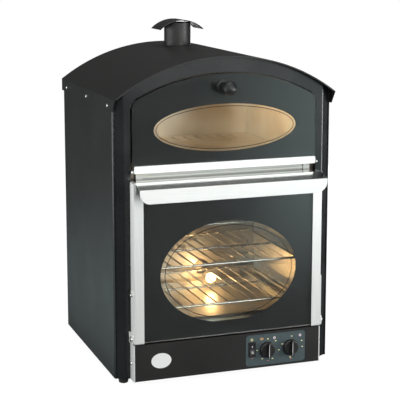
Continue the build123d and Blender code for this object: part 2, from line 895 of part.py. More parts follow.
def display_seal():
    """Heat seal round the sides and the arch of the display's mouth, open at the catch."""
    seal = display_outline(gasket_offset + display_seal_width) - display_outline(gasket_offset)
    seal -= rectangle(-opening_half, opening_half, 0, display_floor_top + seal_foot)
    catch_half = crown_catch_width / 2 + catch_gap
    seal -= rectangle(-catch_half, catch_half, display_lamp_z, upper_door_apex)
    return slab(seal, upper_print_back + free_gap, face_plate_y)


def door_seals():
    """The oven door's seal, which its inner pan closes on, and the display door's."""
    inner = gasket_offset
    outer = gasket_offset + gasket_width
    ring = rectangle(-oven_half - outer, oven_half + outer, oven_floor_top - outer, oven_ceiling + outer)
    ring -= rectangle(-oven_half - inner, oven_half + inner, oven_floor_top - inner, oven_ceiling + inner)
    oven_seal = slab(ring, inner_pan_back + free_gap, face_plate_y)
    return group(oven_seal, *display_seal().solids())


# ---- racks ----
def runner_side():
    """Right-hand runner: a plate with a ledge and a tilt guard for each rack."""
    outer = oven_half - seam
    inner = outer - runner_sheet
    side = block(inner, outer, runner_front, runner_back, runner_bottom, runner_top)
    for level in rack_levels.values():
        ledge_top = level - rack_rod_radius - free_gap
        guard = level + rack_rod_radius + rack_wire_radius + guard_gap
        side += block(inner - runner_ledge, inner, runner_front, runner_back,
                      ledge_top - runner_sheet, ledge_top)
        side += block(inner - runner_ledge, inner, runner_front, runner_back,
                      guard, guard + runner_sheet)
    return side


def rack_runners():
    """The left and right runners."""
    side = runner_side()
    return group(side, mirrored(side))


def rack(level):
    """Wire shelf: a rod frame with wires laid across it from front to back."""
    middle = (rack_front + rack_back) / 2
    shelf = rod_x(rack_rod_radius, -rack_half_width, rack_half_width, rack_front, level)
    shelf += rod_x(rack_rod_radius, -rack_half_width, rack_half_width, rack_back, level)
    shelf += rod_x(rack_rod_radius, -rack_half_width, rack_half_width, middle, level)
    for side in (-1, 1):
        x = side * rack_half_width
        shelf += rod_y(rack_rod_radius, x, rack_front, rack_back, level)
        shelf += Pos(x, rack_front, level) * Sphere(rack_rod_radius)
        shelf += Pos(x, rack_back, level) * Sphere(rack_rod_radius)
    wire_level = level + rack_rod_radius + rack_wire_radius - rack_weld
    reach = rack_rod_radius
    for index in range(rack_wires):
        x = (index - (rack_wires - 1) / 2) * rack_wire_pitch
        shelf += rod_y(rack_wire_radius, x, rack_front - reach, rack_back + reach, wire_level)
    return shelf


def crumb_tray():
    """Shallow tray on the oven floor with a turned-down grip at the front."""
    bottom = oven_floor_top - seam + free_gap
    tray = block(-tray_half_width, tray_half_width, tray_front, tray_back, bottom, bottom + tray_height)
    tray -= block(-tray_half_width + tray_sheet, tray_half_width - tray_sheet, tray_front + tray_sheet,
                  tray_back - tray_sheet, bottom + tray_sheet, bottom + tray_height + through)
    grip_half = tray_grip_width / 2
    tray += block(-grip_half, grip_half, tray_front - tray_grip, tray_front + tray_sheet / 2,
                  bottom + tray_height - tray_sheet, bottom + tray_height)
    return tray


# ---- fan, element and lamps ----
def fan_impeller():
    """Radial impeller with its shaft."""
    front = baffle_y + liner_sheet + fan_gap
    back = front + fan_depth
    wheel = rod_y(fan_radius, 0, back - fan_blade, back, fan_z)
    wheel += rod_y(fan_hub_radius, 0, front + fan_hub_step, back, fan_z)
    for index in range(fan_blades):
        blade = block(fan_hub_radius - 2, fan_radius, front, back - fan_blade / 2,
                      -fan_blade / 2, fan_blade / 2)
        wheel += Pos(0, 0, fan_z) * Rot(0, index * 360 / fan_blades, 0) * blade
    wheel += rod_y(fan_shaft_radius, 0, back - fan_blade, motor_front() + shaft_depth, fan_z)
    return wheel


def motor_front():
    """Front face of the motor, on its stand-offs behind the oven's rear wall."""
    return oven_back_y + seam + liner_sheet + motor_standoff


def fan_motor():
    """Motor can on three stand-offs, bored for the impeller's shaft."""
    front = motor_front()
    motor = rod_y(motor_radius, 0, front, front + motor_length, fan_z)
    motor += rod_y(motor_radius + motor_flange, 0, front, front + motor_flange_sheet, fan_z)
    for index in range(3):
        angle = math.radians(90 + index * 120)
        x = (motor_radius + motor_lug_offset) * math.cos(angle)
        z = (motor_radius + motor_lug_offset) * math.sin(angle)
        motor += rod_y(motor_lug_radius, x, front - motor_standoff + seam, front + through, fan_z + z)
    motor -= rod_y(fan_shaft_radius + run_fit, 0, front - through, front + shaft_depth + through, fan_z)
    return motor


def element_leg_places():
    """Where the two ends of the element ring pass through the rear wall."""
    return [-element_leg_x, element_leg_x]


def element_leg_z():
    """Height of the element's two legs."""
    return fan_z - math.sqrt(element_ring_radius ** 2 - element_leg_x ** 2)


def heating_element():
    """Sheathed element: a ring around the fan whose ends turn back through the wall."""
    y = baffle_y + plenum_depth / 2
    ring = Pos(0, y, fan_z) * Rot(90, 0, 0) * Torus(element_ring_radius, element_rod_radius)
    below = fan_z - element_ring_radius - 2 * element_rod_radius
    ring -= block(-element_leg_x, element_leg_x, y - 2 * element_rod_radius, y + 2 * element_rod_radius,
                  below, fan_z)
    for x in element_leg_places():
        ring += Pos(x, y, element_leg_z()) * Sphere(element_rod_radius)
        ring += rod_y(element_rod_radius, x, y, oven_back_y + element_tail, element_leg_z())
    return ring


def lamp_holders():
    """Lampholder of the display on the left panel, and of the oven on its rear wall."""
    wall = -side_inner + seam
    display = rod_x(holder_radius, wall, wall + holder_length, display_lamp_y, display_lamp_z)
    back = oven_back_y + seam + liner_sheet
    oven = rod_y(lamp_bulb_radius + 0.7, oven_lamp_x, back - holder_neck, back, oven_lamp_z)
    oven += rod_y(holder_flange_radius, oven_lamp_x, back, back + holder_flange, oven_lamp_z)
    oven += rod_y(holder_radius, oven_lamp_x, back, back + holder_back, oven_lamp_z)
    return group(display, oven)


def lamp_bulbs():
    """Two capsule lamps."""
    wall = -side_inner + seam + holder_length
    tip = wall + display_lamp_reach
    display = rod_x(lamp_bulb_radius, wall, tip, display_lamp_y, display_lamp_z)
    display += Pos(tip, display_lamp_y, display_lamp_z) * Sphere(lamp_bulb_radius)
    bound = 2 * lamp_bulb_radius
    display &= block(wall, tip + bound, display_lamp_y - bound, display_lamp_y + bound,
                     display_lamp_z - bound, display_lamp_z + bound)
    base = oven_back_y + seam + liner_sheet - holder_neck
    front = base - oven_lamp_reach
    oven = rod_y(lamp_bulb_radius, oven_lamp_x, front, base, oven_lamp_z)
    oven += Pos(oven_lamp_x, front, oven_lamp_z) * Sphere(lamp_bulb_radius)
    return group(display, oven)


# ---- lintel and upper hinge ----
def lug_inner():
    """Inner face of a hinge lug, beside the end of the door's rail."""
    return rail_half_width + lug_play


def lintel():
    """Folded stainless strip between the doors, with the upper door's hinge lugs."""
    half = lintel_half_width
    back = face_plate_y - seam
    top = display_floor_top - lintel_top_gap
    strip = block(-half, half, lintel_face, lintel_face + lintel_sheet, lintel_bottom, top)
    strip += block(-half, half, lintel_face, back, top - lintel_sheet, top)
    strip += block(-half, half, lintel_face, back, lintel_bottom, lintel_bottom + lintel_sheet)
    fold_z = (lintel_bottom + rail_bottom) / 2
    strip += block(-half + lintel_tab, half - lintel_tab, lintel_face - lintel_fold_reach,
                   lintel_face + lintel_sheet / 3, fold_z - lintel_fold / 2, fold_z + lintel_fold / 2)
    lug_outer = lug_inner() + lug_thickness
    for side in (-1, 1):
        near, far = sorted((side * (half - lintel_tab), side * half))
        strip += block(near, far, lintel_tab_face, lintel_face + lintel_sheet / 3, lintel_bottom,
                       rail_bottom + through)
        low, high = sorted((side * (half - through), side * lug_outer))
        strip += block(low, high, back - lug_root, back, upper_pivot_z - lug_radius,
                       upper_pivot_z + lug_radius)
        low, high = sorted((side * lug_inner(), side * lug_outer))
        lug = block(low, high, upper_pivot_y, back, upper_pivot_z - lug_radius,
                    upper_pivot_z + lug_radius)
        lug += rod_x(lug_radius, low, high, upper_pivot_y, upper_pivot_z)
        lug -= rod_x(hinge_pin_radius + run_fit, low - through, high + through, upper_pivot_y,
                     upper_pivot_z)
        strip += lug
    return strip


def upper_hinge_pins():
    """Two headed pins through the lugs into the ends of the upper door's rail."""
    head_inner = lug_inner() + lug_thickness + seam
    pin = rod_x(hinge_pin_radius, rail_half_width - hinge_pin_depth, head_inner + through, upper_pivot_y,
                upper_pivot_z)
    pin += rod_x(hinge_pin_head_radius, head_inner, head_inner + hinge_pin_head, upper_pivot_y,
                 upper_pivot_z)
    return group(pin, mirrored(pin))


def door_catches():
    """Magnetic catches: one at each upper corner of the oven door, one over the display."""
    inner = pan_half() + catch_side_gap
    top = oven_ceiling + gasket_offset + gasket_width
    lower = block(inner, inner + catch_width, lower_door_back + free_gap, face_plate_y,
                  top - catch_height, top)
    crown = upper_door_apex - display_arch_inset + crown_catch_rise
    upper = block(-crown_catch_width / 2, crown_catch_width / 2, upper_print_back + free_gap, face_plate_y,
                  crown, crown + crown_catch_height)
    return group(lower, mirrored(lower), upper)


# ---- upper door ----
def upper_glass():
    """Arched pane of the upper door."""
    pane = slab(arched(upper_door_half, upper_glass_bottom, upper_arch_radius, upper_corner_radius),
                upper_glass_front, upper_glass_back)
    pane -= rod_y(knob_hole_radius, upper_knob_x, upper_glass_front - through, upper_glass_back + through,
                  upper_knob_z)
    return pane


def oval_line(width, height, z, inset):
    """Thin printed oval inside an oval window."""
    outer = ellipse_face(width - 2 * inset, height - 2 * inset, z)
    edge = 2 * (inset + print_line_width)
    return outer - ellipse_face(width - edge, height - edge, z)


def upper_glass_print():
    """Dark border printed on the back of the upper pane, and its oval pin-line."""
    border = arched(upper_door_half - print_margin, upper_glass_bottom + print_margin,
                    upper_arch_radius - print_margin, upper_corner_radius - print_margin)
    border -= ellipse_face(upper_oval_width, upper_oval_height, upper_oval_z)
    border -= Pos(upper_knob_x, upper_knob_z) * Circle(knob_hole_radius)
    line = oval_line(upper_oval_width, upper_oval_height, upper_oval_z, upper_line_inset)
    front = upper_glass_back + print_gap
    return group(slab(border, front, upper_print_back), slab(line, front, upper_print_back))


def upper_door_rail():
    """Stainless channel along the foot of the upper pane, with a pin hole in each end."""
    half = rail_half_width
    top = rail_bottom + rail_height
    grip_bottom = upper_glass_bottom - 4 * seam
    front_face = fillet(rectangle(-half, half, rail_bottom, top).vertices(), rail_corner)
    rail = slab(front_face, rail_front, rail_front + rail_wall)
    rail += block(-half + 2 * rail_wall, half - 2 * rail_wall, rail_front, upper_glass_front - seam / 2,
                  grip_bottom, top - touch)
    rear = upper_print_back + seam
    rail += block(-half, half, rear, rear + rail_wall, grip_bottom, top)
    for side in (-1, 1):
        low, high = sorted((side * (half - rail_end), side * half))
        end = block(low, high, rail_front + rail_wall / 2, rear + rail_wall, rail_bottom + rail_wall,
                    top - rail_corner)
        end -= rod_x(hinge_pin_radius + run_fit, low - through, high + through, upper_pivot_y,
                     upper_pivot_z)
        end -= block(low - through, high + through, upper_glass_front - seam / 2, rear,
                     upper_glass_bottom - 2 * seam, top + through)
        rail += end
    return rail


def upper_knob():
    """Ball knob on a round base, screwed through the pane."""
    x, z = upper_knob_x, upper_knob_z
    face = upper_glass_front
    ball_y = face - upper_knob_reach
    knob = Pos(x, ball_y, z) * Sphere(upper_knob_radius)
    knob += rod_y(knob_neck_radius, x, ball_y, face - rosette_thickness / 2, z)
    knob += rod_y(rosette_radius, x, face - rosette_thickness, face, z)
    knob += rod_y(knob_screw_radius, x, face - rosette_thickness, upper_glass_back + knob_nut_back, z)
    knob += rod_y(knob_nut_radius, x, upper_print_back, upper_glass_back + knob_nut_back, z)
    return knob


# ---- lower door ----
def right_door_channel():
    """Stainless channel that holds the panes and forms one edge of the door."""
    half = door_half
    front, back = lower_door_front, lower_door_back
    plan = rectangle(strip_inner, half, front, front + channel_sheet)
    plan += rectangle(half - channel_sheet, half, front, back)
    plan += rectangle(half - channel_rear_lip, half, back - channel_sheet, back)
    channel = along_z(plan, lower_door_bottom, lower_door_top)
    side = rectangle(front, back, lower_door_bottom, lower_door_top)
    low = side.vertices().sort_by(Axis.Y)[:2]
    side = fillet(low.sort_by(Axis.X)[0], channel_front_round)
    low = side.vertices().sort_by_distance((back, lower_door_bottom, 0))[0]
    side = chamfer(low, channel_back_cut)
    channel &= along_x(side, strip_inner - through, half + through)
    reach = (half - channel_sheet - through, half + through)
    channel -= rod_x(pivot_bolt_radius + run_fit, *reach, lower_pivot_y, lower_pivot_z)
    channel -= rod_x(arm_bolt_radius + run_fit, *reach, arm_bolt_y, arm_bolt_z)
    return channel


def lower_glass():
    """Outer pane of the oven door."""
    return block(-glass_half, glass_half, lower_glass_front, lower_glass_back, lower_glass_bottom,
                 lower_door_top - seam)


def lower_glass_print():
    """Dark border printed on the back of the outer pane, and its oval pin-line."""
    side = glass_half - lower_print_margin
    border = rectangle(-side, side, lower_glass_bottom + lower_print_margin,
                       lower_door_top - 2 * lower_print_margin)
    border -= ellipse_face(lower_oval_width, lower_oval_height, lower_oval_z)
    line = oval_line(lower_oval_width, lower_oval_height, lower_oval_z, lower_line_inset)
    front = lower_glass_back + print_gap
    return group(slab(border, front, lower_print_back), slab(line, front, lower_print_back))


def pan_half():
    """Half width of the inner pan, which covers the oven's seal."""
    return oven_half + gasket_offset + gasket_width + pan_lap


def pan_bottom():
    """Lower edge of the inner pan."""
    return oven_floor_top - gasket_offset - gasket_width - pan_foot_lap


def inner_door_pan():
    """Pressed inner pan that carries the inner pane and closes on the oven's seal."""
    half = pan_half()
    bottom = pan_bottom()
    top = oven_ceiling + gasket_offset + gasket_width + pan_top_lap
    t = inner_pan_sheet
    foot = lower_door_bottom + pan_foot
    flange = rectangle(-glass_half, glass_half, foot, lower_door_top - pan_top_lap)
    well = rectangle(-half + t, half - t, bottom + t, top - t)
    pan = slab(flange - well, inner_pan_flange, inner_pan_flange + t)
    wall = rectangle(-half, half, bottom, top) - well
    pan += slab(wall, inner_pan_flange, inner_pan_back)
    m = inner_window_margin
    window = rectangle(-half + m, half - m, bottom + inner_window_foot, top - m)
    pan += slab(rectangle(-half, half, bottom, top) - window, inner_pan_back - t, inner_pan_back)
    pan += block(-glass_half, glass_half, lower_print_back + seam, inner_pan_flange + t, foot - t / 2,
                 foot + t / 2)
    clip_y = inner_pan_back - t - seam - inner_glass_thickness - seam
    for side in (-1, 1):
        for z in (bottom + clip_inset, top - clip_inset):
            low, high = sorted((side * (half - t - clip_reach), side * (half - t / 2)))
            pan += block(low, high, clip_y - t, clip_y, z - clip_height / 2, z + clip_height / 2)
    return pan


def inner_glass():
    """Inner pane, held in the pan by four clips."""
    half = pan_half() - inner_pan_sheet - inner_glass_play
    bottom = pan_bottom() + inner_pan_sheet + inner_glass_play
    top = oven_ceiling + gasket_offset + gasket_width - inner_pan_sheet
    back = inner_pan_back - inner_pan_sheet - seam
    return block(-half, half, back - inner_glass_thickness, back, bottom, top)


def door_handle():
    """Full-width stainless handle: a sloping shelf with a hanging lip."""
    half = handle_half_width
    t = handle_sheet
    top = lower_door_top + seam + t
    back = lower_door_back - handle_back_edge
    front_top = lower_door_front - seam - t
    lip_front = -handle_reach - t
    lip_top = top - handle_drop
    shelf = make_face(Polyline((back, top - t), (front_top + t, top - t),
                               (lip_front + t, lip_top - t), (lip_front, lip_top - t),
                               (lip_front, lip_top), (front_top, top), (back, top), close=True))
    handle = along_x(shelf, -half, half)
    fold = top - handle_front_fold
    down = make_face(Polyline((front_top, top - t / 3), (front_top + t, top - t / 3),
                              (front_top + t, fold), (front_top, fold), close=True))
    handle += along_x(down, -half, half)
    lip = rectangle(-half, half, lip_top - handle_lip, lip_top - t / 2)
    corners = lip.vertices().sort_by(Axis.Y)[:2]
    lip = fillet(corners, handle_corner)
    handle += slab(lip, lip_front, lip_front + t)
    return handle


def hinge_arm():
    """Right-hand arm on the side of the door."""
    front = lower_door_front + arm_edge
    outline = rectangle(front, front + arm_depth, lower_door_bottom + arm_edge, arm_top)
    outline = fillet(outline.vertices(), arm_round)
    arm = along_x(outline, arm_inner, arm_outer)
    reach = (arm_inner - through, arm_outer + through)
    arm -= rod_x(pivot_bolt_radius + run_fit, *reach, lower_pivot_y, lower_pivot_z)
    arm -= rod_x(arm_bolt_radius + run_fit, *reach, arm_bolt_y, arm_bolt_z)
    return arm


def hinge_arms():
    """The two arms of the oven door."""
    arm = hinge_arm()
    return group(arm, mirrored(arm))


def arm_bolts():
    """Domed bolts that fix the arms' upper ends to the door."""
    bound = 2 * arm_bolt_head_radius
    bolt = rod_x(arm_bolt_radius, door_half - channel_sheet - bolt_end_gap, arm_outer + through,
                 arm_bolt_y, arm_bolt_z)
    head = Pos(arm_outer, arm_bolt_y, arm_bolt_z) * Sphere(arm_bolt_head_radius)
    head &= block(arm_outer, arm_outer + bound, arm_bolt_y - bound, arm_bolt_y + bound,
                  arm_bolt_z - bound, arm_bolt_z + bound)
    bolt += head
    return group(bolt, mirrored(bolt))


def hinge_bracket():
    """Right-hand ear, welded to the column, that holds the pivot bolt."""
    front = lower_door_front + 2 * arm_edge
    low = lower_pivot_z - bracket_height / 2
    high = lower_pivot_z + bracket_height / 2
    outline = rectangle(front, -touch, low, high)
    tips = outline.vertices().sort_by(Axis.X)[:2]
    outline = fillet(tips, bracket_round)
    bracket = along_x(outline, bracket_inner, bracket_outer)
    bracket -= rod_x(pivot_bolt_radius + press_gap, bracket_inner - through, bracket_outer + through,
                     lower_pivot_y, lower_pivot_z)
    return bracket


def hinge_brackets():
    """The two brackets of the oven door."""
    bracket = hinge_bracket()
    return group(bracket, mirrored(bracket))


def pivot_bolts():
    """Shoulder bolts that the oven door turns on."""
    inner = door_half - channel_sheet - bolt_end_gap
    bolt = rod_x(pivot_bolt_radius, inner, bracket_outer + pivot_head / 2, lower_pivot_y, lower_pivot_z)
    head = rod_x(pivot_head_radius, bracket_outer + press_gap, bracket_outer + pivot_head,
                 lower_pivot_y, lower_pivot_z)
    rim = head.faces().sort_by(Axis.X)[-1].edges()
    bolt += fillet(rim, pivot_head_round)
    return group(bolt, mirrored(bolt))


# ---- control box ----
def control_panel():
    """Folded front of the control box, with its top and bottom flanges."""
    half = control_half_width
    t = control_sheet
    front = control_front
    panel = block(-half, half, front, front + t, foot_height, control_top)
    panel += block(-half, half, front, -seam, foot_height, foot_height + t)
    inner = opening_half - free_gap
    panel += block(-half, half, front, -seam, control_top - t, control_top)
    panel += block(-inner, inner, front, face_plate_y - seam, control_top - t, control_top)
    for side in (-1, 1):
        low, high = sorted((side * (half - t), side * half))
        flange = block(low, high, -cheek_flange, -seam, foot_height, control_top)
        panel += flange - rod_x(screw_radius + hole_fit, low - through, high + through, cheek_screw_y,
                                cheek_screw_z)
    for x in dial_x.values():
        panel -= rod_y(dial_shaft_radius + 1, x, front - through, front + t + through, dial_z)
    panel -= slab(switch_hole(), front - through, front + t + through)
    return panel


def switch_hole():
    """Hole for the switch's body, covered by its bezel."""
    half = bezel_width / 2 - bezel_lip
    rise = bezel_height / 2 - bezel_end_lip
    return rectangle(switch_x - half, switch_x + half, switch_z - rise, switch_z + rise)


def control_cheek():
    """Right-hand cheek of the control box, screwed to the panel's side flange."""
    inner = control_half_width + seam
    cheek = block(inner, cheek_outer(), control_front - cheek_lip, -touch, foot_height, control_top)
    cheek -= rod_x(screw_radius + hole_fit, inner - through, cheek_outer() + through, cheek_screw_y,
                   cheek_screw_z)
    return cheek


def control_cheeks():
    """The two cheeks."""
    cheek = control_cheek()
    return group(cheek, mirrored(cheek))


def label_plate():
    """Scale plate behind the knobs and the switch."""
    outline = rectangle(label_left, label_right, label_bottom, label_top)
    outline = fillet(outline.vertices(), label_corner)
    for x in dial_x.values():
        outline -= Pos(x, dial_z) * Circle(dial_shaft_radius + 1)
    outline -= switch_hole()
    return slab(outline, label_face, control_front)


def badge():
    """Plain white oval badge."""
    face = ellipse_face(badge_width, badge_height, badge_z, badge_x)
    return slab(face, control_front - badge_thickness, control_front)


def rocker_axis_y():
    """Depth of the rocker's pivot."""
    return label_face + rocker_set_back


def switch_housing():
    """Bezel and body of the rocker switch."""
    x0, x1 = switch_x - bezel_width / 2, switch_x + bezel_width / 2
    z0, z1 = switch_z - bezel_height / 2, switch_z + bezel_height / 2
    bezel_back = label_face
    housing = block(x0, x1, bezel_back - bezel_thickness, bezel_back, z0, z1)
    lip = bezel_lip + seam
    end_lip = bezel_end_lip + seam
    housing += block(x0 + lip, x1 - lip, bezel_back - bezel_thickness / 3, bezel_back + switch_body_depth,
                     z0 + end_lip, z1 - end_lip)
    gap = rocker_width / 2 + free_gap
    reach = rocker_radius + 2 * seam
    housing -= block(switch_x - gap, switch_x + gap, bezel_back - bezel_thickness - through,
                     bezel_back + reach, switch_z - reach, switch_z + reach)
    housing += rod_x(rocker_pin_radius, switch_x - gap - bezel_lip / 2, switch_x + gap + bezel_lip / 2,
                     rocker_axis_y(), switch_z)
    return housing


def power_rocker():
    """Rocker with two sloping faces, tipped to one side."""
    section = Circle(rocker_radius)
    end = rocker_radius + 1.8
    back = rocker_radius / 2 + 0.4
    section &= make_face(Polyline((-rocker_rise, 0), (-rocker_rise - rocker_hollow, end), (back, end),
                                  (back, -end), (-rocker_rise - rocker_hollow, -end), close=True))
    section -= Circle(rocker_pin_radius + run_fit)
    rocker = along_x(section, -rocker_width / 2, rocker_width / 2)
    return Pos(switch_x, rocker_axis_y(), switch_z) * Rot(-rocker_tilt, 0, 0) * rocker


def dial_bodies():
    """Thermostat and timer bodies behind the panel."""
    solids = []
    front = control_front + control_sheet + press_gap
    half = dial_body_size / 2
    for x in dial_x.values():
        body = block(x - half, x + half, front, front + dial_body_depth, dial_z - half, dial_z + half)
        body -= rod_y(dial_shaft_radius + run_fit, x, front - through, front + dial_shaft_depth + through,
                      dial_z)
        solids.append(body)
    return group(*solids)


def dial_knob(x):
    """Round knob with a raised grip bar and its shaft."""
    back = label_face - free_gap
    skirt_front = back - dial_skirt
    skirt = rod_y(dial_radius, x, skirt_front, back, dial_z)
    rim = skirt.faces().sort_by(Axis.Y)[0].edges()
    knob = fillet(rim, dial_rim)
    half = dial_grip_width / 2
    grip = block(x - half, x + half, back - dial_grip, skirt_front + dial_rim, dial_z - dial_radius,
                 dial_z + dial_radius)
    grip &= rod_y(dial_radius, x, back - dial_grip - through, back, dial_z)
    knob += grip
    knob += rod_y(dial_shaft_radius, x, back - through, control_front + control_sheet + dial_shaft_depth,
                  dial_z)
    return knob


def cable_gland():
    """Rear gland for the supply cable, with its nut inside the panel."""
    z = gland_z
    hexagon = RegularPolygon(gland_radius + 1, 6)
    gland = Pos(gland_x, body_depth, z) * Rot(-90, 0, 0) * extrude(hexagon, gland_hex)
    gland += rod_y(gland_radius - 1.5, gland_x, body_depth + gland_hex - through,
                   body_depth + gland_reach, z)
    gland += rod_y(gland_neck_radius, gland_x, back_inner_y - gland_inside, body_depth + through, z)
    nut = Rot(-90, 0, 0) * extrude(hexagon, gland_nut)
    gland += Pos(gland_x, back_inner_y - gland_nut - press_gap, z) * nut
    gland -= rod_y(gland_bore_radius, gland_x, back_inner_y - gland_inside - through,
                   body_depth + gland_reach + through, z)
    return gland


right_panel = right_side_panel()
right_channel = right_door_channel()
nodes = {
    "base_tray": base_tray(),
    "feet": feet(),
    "left_side_panel": mirrored(right_panel),
    "right_side_panel": right_panel,
    "back_panel": back_panel(),
    "front_frame": front_frame(),
    "roof_panel": roof_panel(),
    "panel_screws": panel_screws(),
    "flue_pipe": flue_pipe(),
    "cap_straps": cap_straps(),
    "flue_cap": flue_cap(),
    "face_plate": face_plate(),
    "display_wrap": display_wrap(),
    "display_back": display_back(),
    "display_deck": display_deck(),
    "oven_wrap": oven_wrap(),
    "oven_floor": oven_floor(),
    "oven_back": oven_back(),
    "fan_baffle": fan_baffle(),
    "side_insulation": side_insulation(),
    "top_insulation": top_insulation(),
    "door_seals": door_seals(),
    "rack_runners": rack_runners(),
    "crumb_tray": crumb_tray(),
    "fan_impeller": fan_impeller(),
    "fan_motor": fan_motor(),
    "heating_element": heating_element(),
    "lamp_holders": lamp_holders(),
    "lamp_bulbs": lamp_bulbs(),
    "lintel": lintel(),
    "upper_hinge_pins": upper_hinge_pins(),
    "door_catches": door_catches(),
    "upper_glass": upper_glass(),
    "upper_glass_print": upper_glass_print(),
    "upper_door_rail": upper_door_rail(),
    "upper_knob": upper_knob(),
    "left_door_channel": mirrored(right_channel),
    "right_door_channel": right_channel,
    "lower_glass": lower_glass(),
    "lower_glass_print": lower_glass_print(),
    "inner_door_pan": inner_door_pan(),
    "inner_glass": inner_glass(),
    "door_handle": door_handle(),
    "hinge_arms": hinge_arms(),
    "arm_bolts": arm_bolts(),
    "hinge_brackets": hinge_brackets(),
    "pivot_bolts": pivot_bolts(),
    "control_panel": control_panel(),
    "control_cheeks": control_cheeks(),
    "label_plate": label_plate(),
    "badge": badge(),
    "switch_housing": switch_housing(),
    "power_rocker": power_rocker(),
    "dial_bodies": dial_bodies(),
    "cable_gland": cable_gland(),
}
for name, level in rack_levels.items():
    nodes[name] = rack(level)
for name, x in dial_x.items():
    nodes[name] = dial_knob(x)

os.makedirs("parts", exist_ok=True)
for name, shape in nodes.items():
    export_step(Pos(0, -middle_y, 0) * shape, f"parts/{name}.step")
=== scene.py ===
import bmesh
import bpy
import numpy as np
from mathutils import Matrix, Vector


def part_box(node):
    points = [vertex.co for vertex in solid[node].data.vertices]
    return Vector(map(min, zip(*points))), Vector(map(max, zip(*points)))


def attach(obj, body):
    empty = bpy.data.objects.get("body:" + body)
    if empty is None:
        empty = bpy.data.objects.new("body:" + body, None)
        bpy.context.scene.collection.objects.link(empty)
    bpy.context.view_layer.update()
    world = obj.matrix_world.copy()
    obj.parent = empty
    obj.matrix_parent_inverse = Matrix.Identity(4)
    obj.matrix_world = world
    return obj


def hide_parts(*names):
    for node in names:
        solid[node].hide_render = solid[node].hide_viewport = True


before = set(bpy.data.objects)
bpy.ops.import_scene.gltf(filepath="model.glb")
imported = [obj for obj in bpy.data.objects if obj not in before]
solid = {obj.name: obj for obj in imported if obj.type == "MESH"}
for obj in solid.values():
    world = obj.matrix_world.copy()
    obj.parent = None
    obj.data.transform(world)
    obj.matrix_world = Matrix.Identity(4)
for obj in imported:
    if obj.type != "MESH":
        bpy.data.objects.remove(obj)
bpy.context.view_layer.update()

# ---- Feet ----
# Four tapered feet of black rubber, moulded round a steel stud that comes up through the side
# panels' flanges and the bottom pan, where a nut holds it.
COUNTER = 0.0


def finish(name, colour, roughness, metallic=0.0, **others):
    """A finish for one kind of surface. What is the same all over it is set on the shader."""
    material = bpy.data.materials.new(name)
    material.use_nodes = True
    shader = material.node_tree.nodes["Principled BSDF"]
    shader.inputs["Base Color"].default_value = (*colour, 1.0)
    shader.inputs["Roughness"].default_value = roughness
    shader.inputs["Metallic"].default_value = metallic
    for socket, value in others.items():
        shader.inputs[socket.replace("_", " ")].default_value = value
    return material


def add(material, kind, inputs, **settings):
    """One shader node; an input is either a number or the output that feeds it."""
    made = material.node_tree.nodes.new(kind)
    for key, value in settings.items():
        setattr(made, key, value)
    for key, value in inputs.items():
        if isinstance(value, bpy.types.NodeSocket):
            material.node_tree.links.new(value, made.inputs[key])
        else:
            made.inputs[key].default_value = value
    return made


def grain(material, scale, detail=3.0):
    """Noise in the piece's own metres, with its own scale along X, Y and Z."""
    place = add(material, "ShaderNodeTexCoord", {})
    stretched = add(material, "ShaderNodeMapping", {"Vector": place.outputs["Object"], "Scale": scale})
    inputs = {"Vector": stretched.outputs[0], "Scale": 1.0, "Detail": detail}
    return add(material, "ShaderNodeTexNoise", inputs).outputs["Fac"]


def ranged(material, value, start, end, low, high, **settings):
    """Maps a value that runs from start to end onto low to high."""
    inputs = {"Value": value, "From Min": start, "From Max": end, "To Min": low, "To Max": high}
    return add(material, "ShaderNodeMapRange", inputs, **settings)


def vary(material, socket, pattern, low, high):
    """Lets a pattern move one of the shader's numbers between low and high."""
    moved = ranged(material, pattern, 0.3, 0.7, low, high)
    shader = material.node_tree.nodes["Principled BSDF"]
    material.node_tree.links.new(moved.outputs[0], shader.inputs[socket])


def tint(material, pattern, stops):
    """Colours the shader by a pattern, through stops of (position, colour)."""
    ramp = add(material, "ShaderNodeValToRGB", {"Fac": pattern})
    band = ramp.color_ramp
    while len(band.elements) < len(stops):
        band.elements.new(0.5)
    for element, (position, colour) in zip(band.elements, stops):
        element.position = position
        element.color = (*colour, 1.0)
    shader = material.node_tree.nodes["Principled BSDF"]
    material.node_tree.links.new(ramp.outputs["Color"], shader.inputs["Base Color"])


def raise_by(material, pattern, depth, edge=0.0):
    """Bump of that depth in metres from a pattern, over edges eased by a small radius."""
    inputs = {"Height": pattern, "Strength": 1.0, "Distance": depth}
    bump = add(material, "ShaderNodeBump", inputs)
    if edge:
        eased = add(material, "ShaderNodeBevel", {"Radius": edge}, samples=4)
        material.node_tree.links.new(eased.outputs["Normal"], bump.inputs["Normal"])
    shader = material.node_tree.nodes["Principled BSDF"]
    material.node_tree.links.new(bump.outputs["Normal"], shader.inputs["Normal"])


def eased(corners, radius, steps=5):
    """A path through corners, each inner one turned into (1-t)^2 A + 2t(1-t) C + t^2 B, where
    A and B lie at the radius, or half the run, before and after the corner C."""
    corners = np.array(corners, float)
    before, at, after = corners[:-2], corners[1:-1], corners[2:]
    back, on = before - at, after - at
    long_back = np.linalg.norm(back, axis=1, keepdims=True)
    long_on = np.linalg.norm(on, axis=1, keepdims=True)
    start = at + back / long_back * np.minimum(radius, long_back / 2)
    end = at + on / long_on * np.minimum(radius, long_on / 2)
    t = np.linspace(0, 1, steps)[None, :, None]
    bend = (1 - t) ** 2 * start[:, None] + 2 * t * (1 - t) * at[:, None] + t ** 2 * end[:, None]
    return np.vstack([corners[:1], bend.reshape(-1, corners.shape[1]), corners[-1:]])


